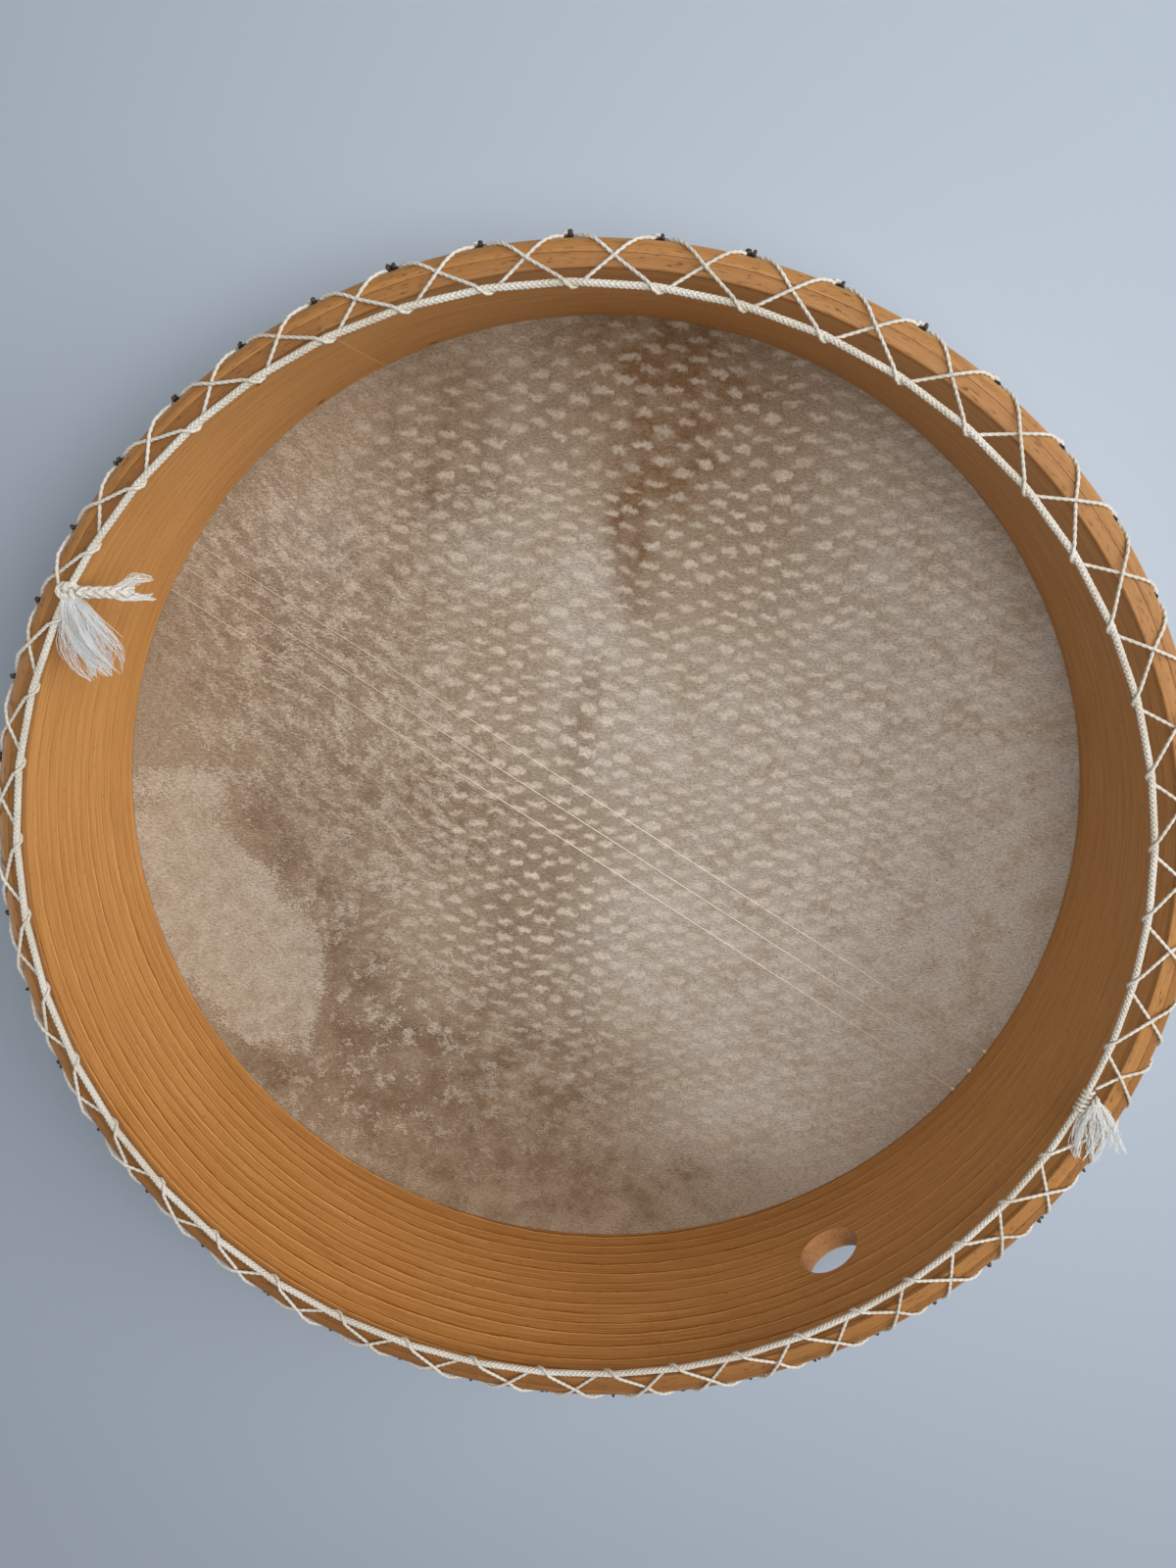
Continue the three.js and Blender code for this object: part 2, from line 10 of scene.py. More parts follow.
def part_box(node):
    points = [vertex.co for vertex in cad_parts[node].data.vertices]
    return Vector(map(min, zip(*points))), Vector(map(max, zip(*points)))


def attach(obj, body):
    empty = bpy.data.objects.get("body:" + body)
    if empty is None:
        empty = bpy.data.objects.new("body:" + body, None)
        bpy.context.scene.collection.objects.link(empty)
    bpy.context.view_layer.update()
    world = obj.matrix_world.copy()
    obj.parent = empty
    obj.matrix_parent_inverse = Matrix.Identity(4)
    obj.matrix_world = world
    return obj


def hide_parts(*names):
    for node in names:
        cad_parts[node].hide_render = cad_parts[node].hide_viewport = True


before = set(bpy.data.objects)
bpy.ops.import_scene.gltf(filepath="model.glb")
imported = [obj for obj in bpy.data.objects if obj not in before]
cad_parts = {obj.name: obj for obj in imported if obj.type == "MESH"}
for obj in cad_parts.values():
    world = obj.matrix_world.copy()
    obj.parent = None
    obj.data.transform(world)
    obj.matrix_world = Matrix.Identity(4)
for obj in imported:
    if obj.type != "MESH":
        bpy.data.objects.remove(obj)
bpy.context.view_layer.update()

bl_info = {
    "name": "Bendir",
    "version": (1, 0, 0),
    "blender": (4, 5, 0),
    "location": "View3D > Sidebar > Bendir",
    "description": "Builds the finished hoop, skin, cords and snares of a laced frame drum",
    "category": "Object",
}

MM = 0.001
TURN = 2 * math.pi
UP = Vector((0, 0, 1))
BODY = "root"

# Camera: where the picture was taken from, in the drum's own frame
CAMERA_PLACE = Vector((75.4, 98.8, 458.5)) * MM
CAMERA_LOOK = Vector((-0.1526, -0.1801, -0.9717))
CAMERA_UP = Vector((0.4715, 0.8509, -0.2317))
FOCAL_PIXELS = 1194.27
IMAGE_HEIGHT = 1600
SENSOR_MM = 36
# The picture's upright lies this far round from the drum's own axes
PICTURE_TURN = math.radians(29.3)

# Hoop, read from the frame; the glued plies are drawn closer than the solids, which keep a gap
OUTER_PLY_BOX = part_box("hoop_outer_ply")
INNER_PLY_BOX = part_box("hoop_inner_ply")
SOLID_GAP = 0.3 * MM
GLUE_LINE = 0.08 * MM
HOOP_OUTER = OUTER_PLY_BOX[1].x
HOOP_BASE = OUTER_PLY_BOX[0].z
HOOP_BACK = OUTER_PLY_BOX[1].z
SEAM = INNER_PLY_BOX[1].x + SOLID_GAP / 2
PLY_THICKNESS = HOOP_OUTER - SEAM - SOLID_GAP / 2
HOOP_INNER = INNER_PLY_BOX[1].x - PLY_THICKNESS
SHOULDER = 4 * MM
BEARING = 3 * MM
SCARF_LENGTH = 16 * MM
SCARF_SLIT = 0.18 * MM
INNER_SCARF_ANGLE = math.radians(85)
OUTER_SCARF_ANGLE = math.radians(200)
# Staple marks on the inner wall: arc from its scarf joint, height above the playing face
STAPLES = [(along * MM, up * MM) for along in (27.5, -20.5) for up in (76, 5)]
STAPLE_HALF = Vector((2, 1.4, 1)) * MM
THUMB_ANGLE = -TURN / 4
# Edges that turn by more than this are drawn sharp
CRISP_WOOD = math.radians(32)
CRISP_SKIN = math.radians(40)

# Skin
SKIN_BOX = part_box("drum_skin")
SKIN_THICKNESS = HOOP_BASE - SOLID_GAP
COLLAR_GAP = 0.2 * MM
SKIN_INNER = HOOP_OUTER + COLLAR_GAP
# The dried tips stand a little higher than the solid's tabs
TIP_RISE = 1.8 * MM
TAB_DROP = HOOP_BACK - SKIN_BOX[1].z - TIP_RISE
VALLEY_DROP = 12.5 * MM
LACE_HOLE_DROP = 9 * MM
FLARE_RUN = 14 * MM
PAIR_GAP = 1.7 * MM
PAIR_EVERY = 4
# Tabs have dried to dark nubs between these angles, with the picture upright
NUBS_FROM = math.radians(58)
NUBS_TO = math.radians(335)

# Lacing and ring, on the same route as the solids but drawn tight, so that the cords touch
LACE_DIAMETER = 1.2 * MM
LACE_HOLES = 47
LACE_START = math.radians(307.9)
WRAP_ADVANCE = 6 * MM
WRAP_START = math.radians(270)
WRAP_END = math.radians(50)
WRAP_STEPS = 5
TIP_SPREAD = 2.2 * MM
CROSSING_LIFT = 1.3 * MM
CROSSING_RUN = 9 * MM
DRIFT_ONCE = 9 * MM
DRIFT_TWICE = 5.3 * MM
DRIFT_PHASE = math.radians(39)
WHIP_TURNS = 4.75
WHIP_STEPS = 8
SHOULDER_STATIONS = (1 / 6, 1 / 2, 5 / 6)
RING_DIAMETER = 2.4 * MM
RING_INSET = 4 * MM
RING_SET_OVER = 4.5 * MM
RING_SET_ANGLE = math.radians(153)
RING_KNOT_ANGLE = math.radians(120.1)
# Ways that the ring cord's two ends lead off, turned from the knot's own angle
BRAIDED_END_TURN = math.radians(210)
FRAYED_END_TURN = math.radians(133)
CLEARANCE = 0.1 * MM
LACE_REST = CLEARANCE + LACE_DIAMETER / 2
# A wrap sinks a tenth of the lace's thickness into the ring
WRAP_RADIUS = RING_DIAMETER / 2 + 0.4 * LACE_DIAMETER
RING_Z = HOOP_BACK + LACE_REST + WRAP_RADIUS
LACE_HOLE_Z = HOOP_BACK - LACE_HOLE_DROP
TAB_Z = HOOP_BACK - TAB_DROP
TAB_FLARE = LACE_DIAMETER
FLARE_Z = LACE_HOLE_Z - FLARE_RUN
TIP_FLARE = 0.5 * MM
TAB_TOP = SHOULDER * TURN / 4 + TAB_DROP - SHOULDER - LACE_REST

# Snares
SNARE_ANGLE = math.radians(-62.7)
SNARE_OFFSETS = (-15.5 * MM, -4.9 * MM, 5.7 * MM)


def linear(code):
    """An sRGB hex colour as linear red, green and blue."""
    shares = [int(code[i : i + 2], 16) / 255 for i in (1, 3, 5)]
    return tuple(s / 12.92 if s <= 0.04045 else ((s + 0.055) / 1.055) ** 2.4 for s in shares)


def length_of(name, description, default):
    """A setting that holds a length."""
    return FloatProperty(name=name, description=description, default=default, unit="LENGTH", precision=5)


def power_of(name, description, default):
    """A setting that holds a lamp's power."""
    return FloatProperty(name=name, description=description, default=default, unit="POWER")


def level_of(name, description, default):
    """A setting that holds a brightness."""
    return FloatProperty(name=name, description=description, default=default, min=0)


def colour_of(name, description, code):
    """A setting that holds a colour, given by its sRGB hex code."""
    return FloatVectorProperty(
        name=name, description=description, default=linear(code), subtype="COLOR", min=0, max=1
    )


class HoopSettings(bpy.types.PropertyGroup):
    """Sizes and colours of the bent wood hoop"""

    shoulder: length_of("Shoulder", "Radius of the outer back edge", SHOULDER)
    bearing: length_of("Bearing edge", "Radius that the skin bends over", BEARING)
    worn_edge: length_of("Worn edge", "Radius of the inner back edge", 0.7 * MM)
    thumb_hole: length_of("Thumb hole", "Diameter of the thumb hole", 24 * MM)
    thumb_height: length_of("Thumb hole height", "Centre above the playing face", 43.5 * MM)
    wood: colour_of("Wood", "Pale wood between growth lines", "#EBB56F")
    late_wood: colour_of("Late wood", "Dark edge of a growth line", "#8C4F0E")
    worn_wood: colour_of("Worn wood", "Handled wood along the back edge", "#84582B")
    pit: colour_of("Pits", "Dirt in pores and cracks", "#4E3018")
    end_grain: colour_of("End grain", "Rough wood in the thumb hole", "#C68F5C")


class SkinSettings(bpy.types.PropertyGroup):
    """Sizes and colours of the goatskin"""

    thickness: length_of("Thickness", "Thickness of the hide", SKIN_THICKNESS)
    hole: length_of("Lacing hole", "Diameter of a lacing hole", 1.6 * MM)
    nub: length_of("Dried nub", "Length of a dried nub at a tab's tip", 2.6 * MM)
    thumb_cut: length_of("Thumb cut", "Diameter cut out of the collar", 26 * MM)
    middle: colour_of("Middle tone", "Most of the hide", "#998B79")
    pale: colour_of("Pale tone", "Unpigmented patch, smears and flakes", "#B1AB9F")
    spot: colour_of("Spot tone", "Pale spots", "#D0C8BC")
    # Partly painted light: the grey tone is also laid on the head's right edge and middle to lighten them
    grey: colour_of("Grey tone", "Thin scraped places", "#AFA9A1")
    brown: colour_of("Brown tone", "Pigmented places", "#766452")
    red: colour_of("Red tone", "Darkest pigment along the back line", "#745A40")
    # Partly painted light: the collar is painted paler to make up for the little light on the drum's sides
    collar: colour_of("Collar tone", "Hide stretched dry round the hoop", "#DCC4A4")
    dried: colour_of("Dried edge", "Black dried edge at each hole", "#1E1A18")
    # Painted sheen: the paler colour painted on the ridges of the dried edge
    dried_ridge_sheen: colour_of("Dried ridge", "Paler ridges of the dried edge", "#3B3029")


class CordSettings(bpy.types.PropertyGroup):
    """Sizes and colours of the ring cord and the lacing"""

    ring: length_of("Ring cord", "Diameter of the braided ring cord", RING_DIAMETER)
    lace: length_of("Lace", "Diameter of the twisted lace", LACE_DIAMETER)
    plait: length_of("Plait", "Diameter of the ring cord's plaited end", 4.4 * MM)
    braid_pitch: length_of("Braid pitch", "One turn of a strand round the ring cord", 6.5 * MM)
    twist_pitch: length_of("Twist pitch", "One turn of a ply of the lace", 4.4 * MM)
    fibres: IntProperty(name="Fibres", description="Fibres in the largest frayed end", default=280, min=8)
    cotton: colour_of("Cotton", "Clean off-white cotton", "#D6D5CF")
    soiled: colour_of("Soiled cotton", "Handled cotton", "#BFB8A6")
    fibre: colour_of("Fibre", "Loose white fibres", "#E9F1F8")


class SnareSettings(bpy.types.PropertyGroup):
    """Sizes and colours of the snares"""

    line: length_of("Line", "Diameter of a snare", 0.34 * MM)
    knot: length_of("Knot", "Diameter of a snare's knot", 1.9 * MM)
    # Painted highlight: the whiter colour that the line is painted with towards the knots, where light
    # catches it
    nylon: colour_of("Nylon", "Clear line where it is rubbed white", "#F6F2E8")
    clear_line: colour_of("Clear nylon", "Line as it was drawn", "#D2C5AF")


class StageSettings(bpy.types.PropertyGroup):
    """Floor and light"""

    floor: colour_of("Floor", "Plain pale floor", "#AFBED1")
    sky: colour_of("Sky", "Soft light from all round", "#E6EDF6")
    lamp: colour_of("Lamps", "Warm white of the lamps", "#FFF8F0")
    sky_level: level_of("Sky level", "Strength of the soft light", 0.14)
    backdrop_level: level_of("Backdrop level", "Brightness of the backdrop as it is seen", 0.6)
    fill_power: power_of("Fill lamp", "Power of the low lamp", 12)
    key_power: power_of("Key lamp", "Power of the side lamp", 20.2)
    top_power: power_of("Top lamp", "Power of the overhead lamp", 3.85)
    floor_half: length_of("Floor half width", "Half the width of the floor", 3.0)
    blend_from: length_of("Blend from", "Distance at which the floor starts to run into the backdrop", 0.4)
    blend_to: length_of("Blend to", "Distance at which the floor has become the backdrop", 0.95)


def node(tree, kind, inputs=(), out=0, **settings):
    """Adds a node and gives one of its outputs; an input is a value or a socket to link from."""
    made = tree.nodes.new(kind)
    for name, value in settings.items():
        setattr(made, name, value)
    for key, value in dict(inputs).items():
        if isinstance(value, bpy.types.NodeSocket):
            tree.links.new(value, made.inputs[key])
        else:
            made.inputs[key].default_value = value
    return made.outputs[out] if made.outputs else None


def new_material(name):
    """A material with a bare Principled shader: the material, its tree and the shader's inputs."""
    material = bpy.data.materials.new(name)
    material.use_nodes = True
    tree = material.node_tree
    tree.nodes.clear()
    shader = node(tree, "ShaderNodeBsdfPrincipled")
    node(tree, "ShaderNodeOutputMaterial", {"Surface": shader})
    return material, tree, shader.node.inputs


def bent_beech(name, colours, scarf_angle):
    """Steam-bent beech, thinly oiled: growth lines run round the hoop, each a fine dark line with a
    highlight painted pale on the ridge beside it, among fine fibres and short dark ray flecks; rough pale
    end grain in the thumb hole, darker wood with pits and cracks along the handled back edge, and a pale
    scarf joint between the marks of its staples."""
    # Length along the grain and width across it, in millimetres
    patterns = {
        "bunch": (833, 9.09),
        "wander": (400, 41.67),
        "ragged": (8.33, 3.33),
        "fibre": (26, 0.6),
        "fleck": (3.6, 0.6),
        "pit": (4, 0.8),
    }
    # How far each pattern moves the growth lines, and how finely
    moves = (("bunch", 3 * MM, 1.0), ("wander", 16 * MM, 2.0), ("ragged", 1.5 * MM, 3.0))
    line_spacing, layer_slope, tear_size = 6.4 * MM, 0.7, 1.2 * MM
    # The saw cut most plainly across the growth lines on this side of the hoop
    plain_side = math.radians(250) - PICTURE_TURN
    material, tree, shader = new_material(name)
    place = node(tree, "ShaderNodeTexCoord", out="Object")
    # The seam of the angle lies in the scarf joint
    turned = node(tree, "ShaderNodeMapping", {"Vector": place, "Rotation": (0, 0, math.pi - scarf_angle)})
    xyz = node(tree, "ShaderNodeSeparateXYZ", {0: turned}).node.outputs
    angle = node(tree, "ShaderNodeMath", {0: xyz["Y"], 1: xyz["X"]}, operation="ARCTAN2")
    arc = node(tree, "ShaderNodeMath", {0: angle, 1: HOOP_OUTER}, operation="MULTIPLY")
    flat = node(tree, "ShaderNodeVectorMath", {0: turned, 1: (1, 1, 0)}, operation="MULTIPLY")
    radius = node(tree, "ShaderNodeVectorMath", {0: flat}, out="Value", operation="LENGTH")
    unrolled = node(tree, "ShaderNodeCombineXYZ", {"X": arc, "Y": xyz["Z"], "Z": radius})
    aim = polar(1 / HOOP_OUTER, plain_side, 0)
    side = node(tree, "ShaderNodeVectorMath", {0: place, 1: aim}, out="Value", operation="DOT_PRODUCT")
    stretched = {}
    for pattern, (length, width) in patterns.items():
        size = {"Vector": unrolled, "Scale": (length * MM, width * MM, width * MM)}
        stretched[pattern] = node(tree, "ShaderNodeMapping", size, vector_type="TEXTURE")

    # Growth lines, unevenly spaced, wandering along the board and slightly ragged
    lines = node(tree, "ShaderNodeMath", {0: radius, 1: layer_slope, 2: xyz["Z"]}, operation="MULTIPLY_ADD")
    for pattern, reach, detail in moves:
        swept = {"Vector": stretched[pattern], "Scale": 1.0, "Detail": detail}
        field = node(tree, "ShaderNodeTexNoise", swept)
        lines = node(tree, "ShaderNodeMath", {0: field, 1: reach, 2: lines}, operation="MULTIPLY_ADD")
    counted = node(tree, "ShaderNodeMath", {0: lines, 1: 1 / line_spacing}, operation="MULTIPLY")
    growth = node(tree, "ShaderNodeMath", {0: counted}, operation="FRACT")
    # Darkness across one line, with a highlight painted on the ridge just past its dark edge
    late_and_ridge_highlight = node(tree, "ShaderNodeFloatCurve", {"Value": growth})
    curve = late_and_ridge_highlight.node.mapping.curves[0]
    curve.points[0].location, curve.points[1].location = (0.0, 0.28), (1.0, 0.28)
    for stop in ((0.5, 0.34), (0.78, 0.44), (0.85, 0.74), (0.88, 0.7), (0.905, 0.0), (0.965, 0.0)):
        curve.points.new(*stop)
    late_and_ridge_highlight.node.mapping.update()
    broad = {"Vector": stretched["wander"], "Scale": 0.5, "Detail": 3.0}
    board = node(tree, "ShaderNodeTexNoise", broad)
    plain = node(tree, "ShaderNodeMapRange", {"Value": side, 1: 0.1, 2: 0.9, 3: 0.35, 4: 1.0})
    centred = node(tree, "ShaderNodeMath", {0: late_and_ridge_highlight, 1: -0.3}, operation="ADD")
    drawn = node(tree, "ShaderNodeMath", {0: centred, 1: plain, 2: 0.3}, operation="MULTIPLY_ADD")

    thready = {"Vector": stretched["fibre"], "Scale": 1.0, "Detail": 6.0, "Roughness": 0.65}
    fibres = node(tree, "ShaderNodeTexNoise", thready)
    tone = drawn
    for field, weight in ((fibres, 1.1), (plain, 0.36), (board, 0.4)):
        tone = node(tree, "ShaderNodeMath", {0: field, 1: weight, 2: tone}, operation="MULTIPLY_ADD")
    level = node(tree, "ShaderNodeMath", {0: tone, 1: -0.79}, operation="ADD", use_clamp=True)

    # Ray flecks: sparse short dashes along the grain
    cell = node(tree, "ShaderNodeTexVoronoi", {"Vector": stretched["fleck"], "Scale": 1.0})
    near = node(tree, "ShaderNodeMapRange", {"Value": cell, 1: 0.16, 2: 0.4, 3: 1.0, 4: 0.0})
    pick = node(tree, "ShaderNodeSeparateColor", {0: cell.node.outputs["Color"]})
    rare = node(tree, "ShaderNodeMapRange", {"Value": pick, 1: 0.8, 2: 1.0, 3: 0.0, 4: 0.6})
    fleck = node(tree, "ShaderNodeMath", {0: near, 1: rare}, operation="MULTIPLY")

    # Scarf joint on the inner wall: a thin pale line, with the marks of the staples that held it
    half_turn = math.pi * HOOP_OUTER
    round_to = node(tree, "ShaderNodeMath", {0: arc}, operation="ABSOLUTE")
    beyond = node(tree, "ShaderNodeMath", {0: half_turn, 1: round_to}, operation="SUBTRACT")
    glued = node(tree, "ShaderNodeMapRange", {"Value": beyond, 1: 0.2 * MM, 2: 0.5 * MM, 3: 0.7, 4: 0.0})
    inmost = node(tree, "ShaderNodeMath", {0: radius, 1: HOOP_INNER + 0.3 * MM}, operation="LESS_THAN")
    joint = node(tree, "ShaderNodeMath", {0: glued, 1: inmost}, operation="MULTIPLY")
    staples = 0.0
    for reach, height in STAPLES:
        middle = (math.copysign(half_turn, -reach) + reach * HOOP_OUTER / HOOP_INNER, height, HOOP_INNER)
        offset = node(tree, "ShaderNodeVectorMath", {0: unrolled, 1: middle}, operation="SUBTRACT")
        shares = node(tree, "ShaderNodeVectorMath", {0: offset, 1: STAPLE_HALF}, operation="DIVIDE")
        distance = node(tree, "ShaderNodeVectorMath", {0: shares}, out="Value", operation="LENGTH")
        mark = node(tree, "ShaderNodeMapRange", {"Value": distance, 1: 0.7, 2: 1.2, 3: 0.9, 4: 0.0})
        staples = node(tree, "ShaderNodeMath", {0: staples, 1: mark}, operation="MAXIMUM")

    # Back edge: handled, darker, with pits and cracks along the grain
    worn_from, worn_to = HOOP_BACK - 4 * MM, HOOP_BACK - 0.5 * MM
    edge = node(tree, "ShaderNodeMapRange", {"Value": xyz["Z"], 1: worn_from, 2: worn_to})
    pocked = {"Vector": stretched["pit"], "Scale": 1.0, "Detail": 6.0, "Roughness": 0.7}
    hollow = node(tree, "ShaderNodeTexNoise", pocked)
    crack = node(tree, "ShaderNodeMapRange", {"Value": hollow, 1: 0.57, 2: 0.68})
    rubbed = node(tree, "ShaderNodeMapRange", {"Value": board, 1: 0.3, 2: 0.7, 3: 0.55, 4: 1.0})
    worn = node(tree, "ShaderNodeMath", {0: edge, 1: rubbed}, operation="MULTIPLY")
    pit = node(tree, "ShaderNodeMath", {0: edge, 1: crack}, operation="MULTIPLY")

    # Thumb hole: rough end grain, torn at its edge
    lowered = (0, 0, -colours.thumb_height)
    beside = node(tree, "ShaderNodeVectorMath", {0: place, 1: lowered}, operation="ADD")
    bored = node(tree, "ShaderNodeVectorMath", {0: beside, 1: (1, 0, 1)}, operation="MULTIPLY")
    away = node(tree, "ShaderNodeVectorMath", {0: bored}, out="Value", operation="LENGTH")
    tear = node(tree, "ShaderNodeTexNoise", {"Vector": place, "Scale": 1 / tear_size, "Detail": 4.0})
    torn = node(tree, "ShaderNodeMath", {0: tear, 1: tear_size, 2: away}, operation="MULTIPLY_ADD")
    rim = colours.thumb_hole / 2 + 0.7 * MM
    ended = node(tree, "ShaderNodeMapRange", {"Value": torn, 1: rim, 2: rim + 0.4 * MM, 3: 1.0, 4: 0.0})
    forward = node(tree, "ShaderNodeSeparateXYZ", {0: place}, out="Y")
    front = node(tree, "ShaderNodeMath", {0: forward, 1: 0.0}, operation="LESS_THAN")
    bore = node(tree, "ShaderNodeMath", {0: ended, 1: front}, operation="MULTIPLY")
    dirt = node(tree, "ShaderNodeMapRange", {"Value": tear, 1: 0.55, 2: 0.7, 3: 0.0, 4: 0.6})
    grime = node(tree, "ShaderNodeMath", {0: bore, 1: dirt}, operation="MULTIPLY")

    colour = (*colours.wood, 1)
    layers = (
        (level, colours.late_wood),
        (fleck, colours.pit),
        (joint, colours.wood),
        (staples, colours.pit),
        (worn, colours.worn_wood),
        (pit, colours.pit),
        (bore, colours.end_grain),
        (grime, colours.pit),
    )
    for share, tint in layers:
        mixed = {"Factor": share, 6: colour, 7: (*tint, 1)}
        colour = node(tree, "ShaderNodeMix", mixed, out=2, data_type="RGBA")
    ridged = node(tree, "ShaderNodeMath", {0: drawn, 1: -0.9, 2: fibres}, operation="MULTIPLY_ADD")
    rough = node(tree, "ShaderNodeMath", {0: pit, 1: -1.0, 2: ridged}, operation="MULTIPLY_ADD")
    bump = node(tree, "ShaderNodeBump", {"Height": rough, "Strength": 0.4, "Distance": 0.25 * MM})
    gloss = node(tree, "ShaderNodeMapRange", {"Value": fibres, 3: 0.42, 4: 0.6})
    tree.links.new(colour, shader["Base Color"])
    tree.links.new(gloss, shader["Roughness"])
    tree.links.new(bump, shader["Normal"])
    shader["Specular IOR Level"].default_value = 0.35
    return material


# Where the hide's tones lie: x, y, half width and half height in millimetres with the picture
# upright, turn in degrees, strength
HIDE_TONES = {
    "pale": (
        (-178, -24, 26, 34, 14, 1.0),
        (-156, -52, 28, 34, 0, 1.0),
        (-138, -74, 20, 29, 0, 1.0),
        (-166, 12, 18, 10, -12, 0.65),
    ),
    "spots": (
        (25, 122, 76, 80, 0, 0.65),
        (-18, -10, 44, 86, 0, 1.0),
        (-42, 40, 30, 42, 0, 0.7),
        # Partly painted light: the spots are strong here to lighten the head's right side, which lies in
        # shade
        (104, 66, 72, 92, 0, 0.72),
        (60, -26, 54, 46, 0, 0.6),
        (-70, -40, 36, 30, 0, 0.5),
        (-60, 125, 40, 40, 0, 0.5),
        (70, -110, 60, 40, 0, 0.4),
        (130, 205, 80, 50, -32, 0.6),
        (-150, 200, 80, 40, 36, 0.4),
    ),
    "grey": (
        (-3, 78, 18, 34, 8, 0.9),
        (6, 30, 30, 22, 0, 0.8),
        # Partly a painted highlight: a pale band from the middle of the head towards the lower right
        (46, 24, 42, 44, 0, 0.6),
        (18, -46, 28, 28, 0, 0.9),
        (72, -62, 74, 42, 12, 0.8),
        (-45, 108, 18, 16, 0, 0.7),
        (-114, 110, 20, 18, 30, 0.7),
        (-30, 150, 14, 32, 0, 0.4),
        # Partly painted light: these two patches lighten the head's right edge, against the shade that the
        # hoop casts there
        (140, 20, 62, 130, 0, 0.95),
        (172, -40, 24, 90, 0, 0.7),
        (80, -135, 60, 44, 0, 0.8),
        (240, 60, 34, 90, 0, 0.5),
        (-244, -60, 34, 80, 0, 0.6),
    ),
    "brown": (
        (-56, 148, 24, 36, 0, 0.75),
        (-28, -55, 28, 48, 0, 0.5),
        (-22, -122, 46, 28, 0, 0.8),
        (-14, -168, 90, 24, 0, 0.8),
        (-84, -118, 46, 40, -20, 0.75),
        (-104, -66, 16, 40, 0, 0.8),
        (-128, -14, 16, 30, 30, 0.7),
        (-142, -116, 24, 11, -40, 0.8),
        (-85, 2, 46, 24, -10, 0.5),
        (-120, 80, 60, 60, 0, 0.5),
        (-12, 166, 20, 22, 0, 0.6),
        (-20, 10, 30, 40, 0, 0.2),
        (0, 250, 110, 34, 0, 0.6),
        (-210, 130, 34, 90, -32, 0.5),
        (185, -185, 40, 80, 45, 0.5),
        (-60, -250, 110, 36, 14, 0.6),
    ),
    "red": (
        (30, 178, 36, 15, -12, 0.85),
        (27, 152, 19, 32, 8, 0.85),
        (14, 112, 9, 28, 4, 0.85),
        (60, 150, 22, 28, 0, 0.35),
        (-4, 48, 6, 18, -8, 0.5),
        (-9, 26, 6, 14, 0, 0.4),
        (-62, 4, 22, 24, 0, 0.25),
        (66, 104, 20, 30, 0, 0.2),
    ),
    "smeared": (
        (-110, 70, 52, 84, 20, 1.0),
        (-70, 10, 34, 34, 0, 0.8),
    ),
    "flaked": (
        (-84, -92, 38, 40, -35, 1.0),
        (-60, -66, 30, 16, 15, 0.9),
        (-100, -128, 26, 24, 0, 0.9),
        (-150, 24, 26, 22, 0, 0.9),
        (-100, -36, 34, 28, 0, 0.9),
        (-6, -84, 24, 28, 0, 0.6),
        (-40, 118, 22, 22, 0, 0.7),
        (-30, 62, 34, 48, 10, 0.55),
        (-20, -140, 70, 30, 0, 0.4),
        (-185, -175, 40, 80, -45, 0.7),
        (235, -110, 36, 60, 20, 0.5),
    ),
    # Painted shade: where short dark strokes stand for the shade in the hide's creases
    "crease_shade": ((140, 10, 60, 150, 0, 1.0), (40, -70, 70, 60, 0, 0.5)),
}


def hide_tone(patches, x, y):
    """How strongly a tone shows at a place: one half of its strength on the edge of each patch."""
    clear = 1.0
    for px, py, half_x, half_y, turn, strength in patches:
        c, s = math.cos(math.radians(turn)), math.sin(math.radians(turn))
        u = ((x - px) * c + (y - py) * s) / half_x
        v = ((y - py) * c - (x - px) * s) / half_y
        clear *= 1 - strength * 0.5 ** min((u * u + v * v) ** 1.5, 60)
    return 1 - clear


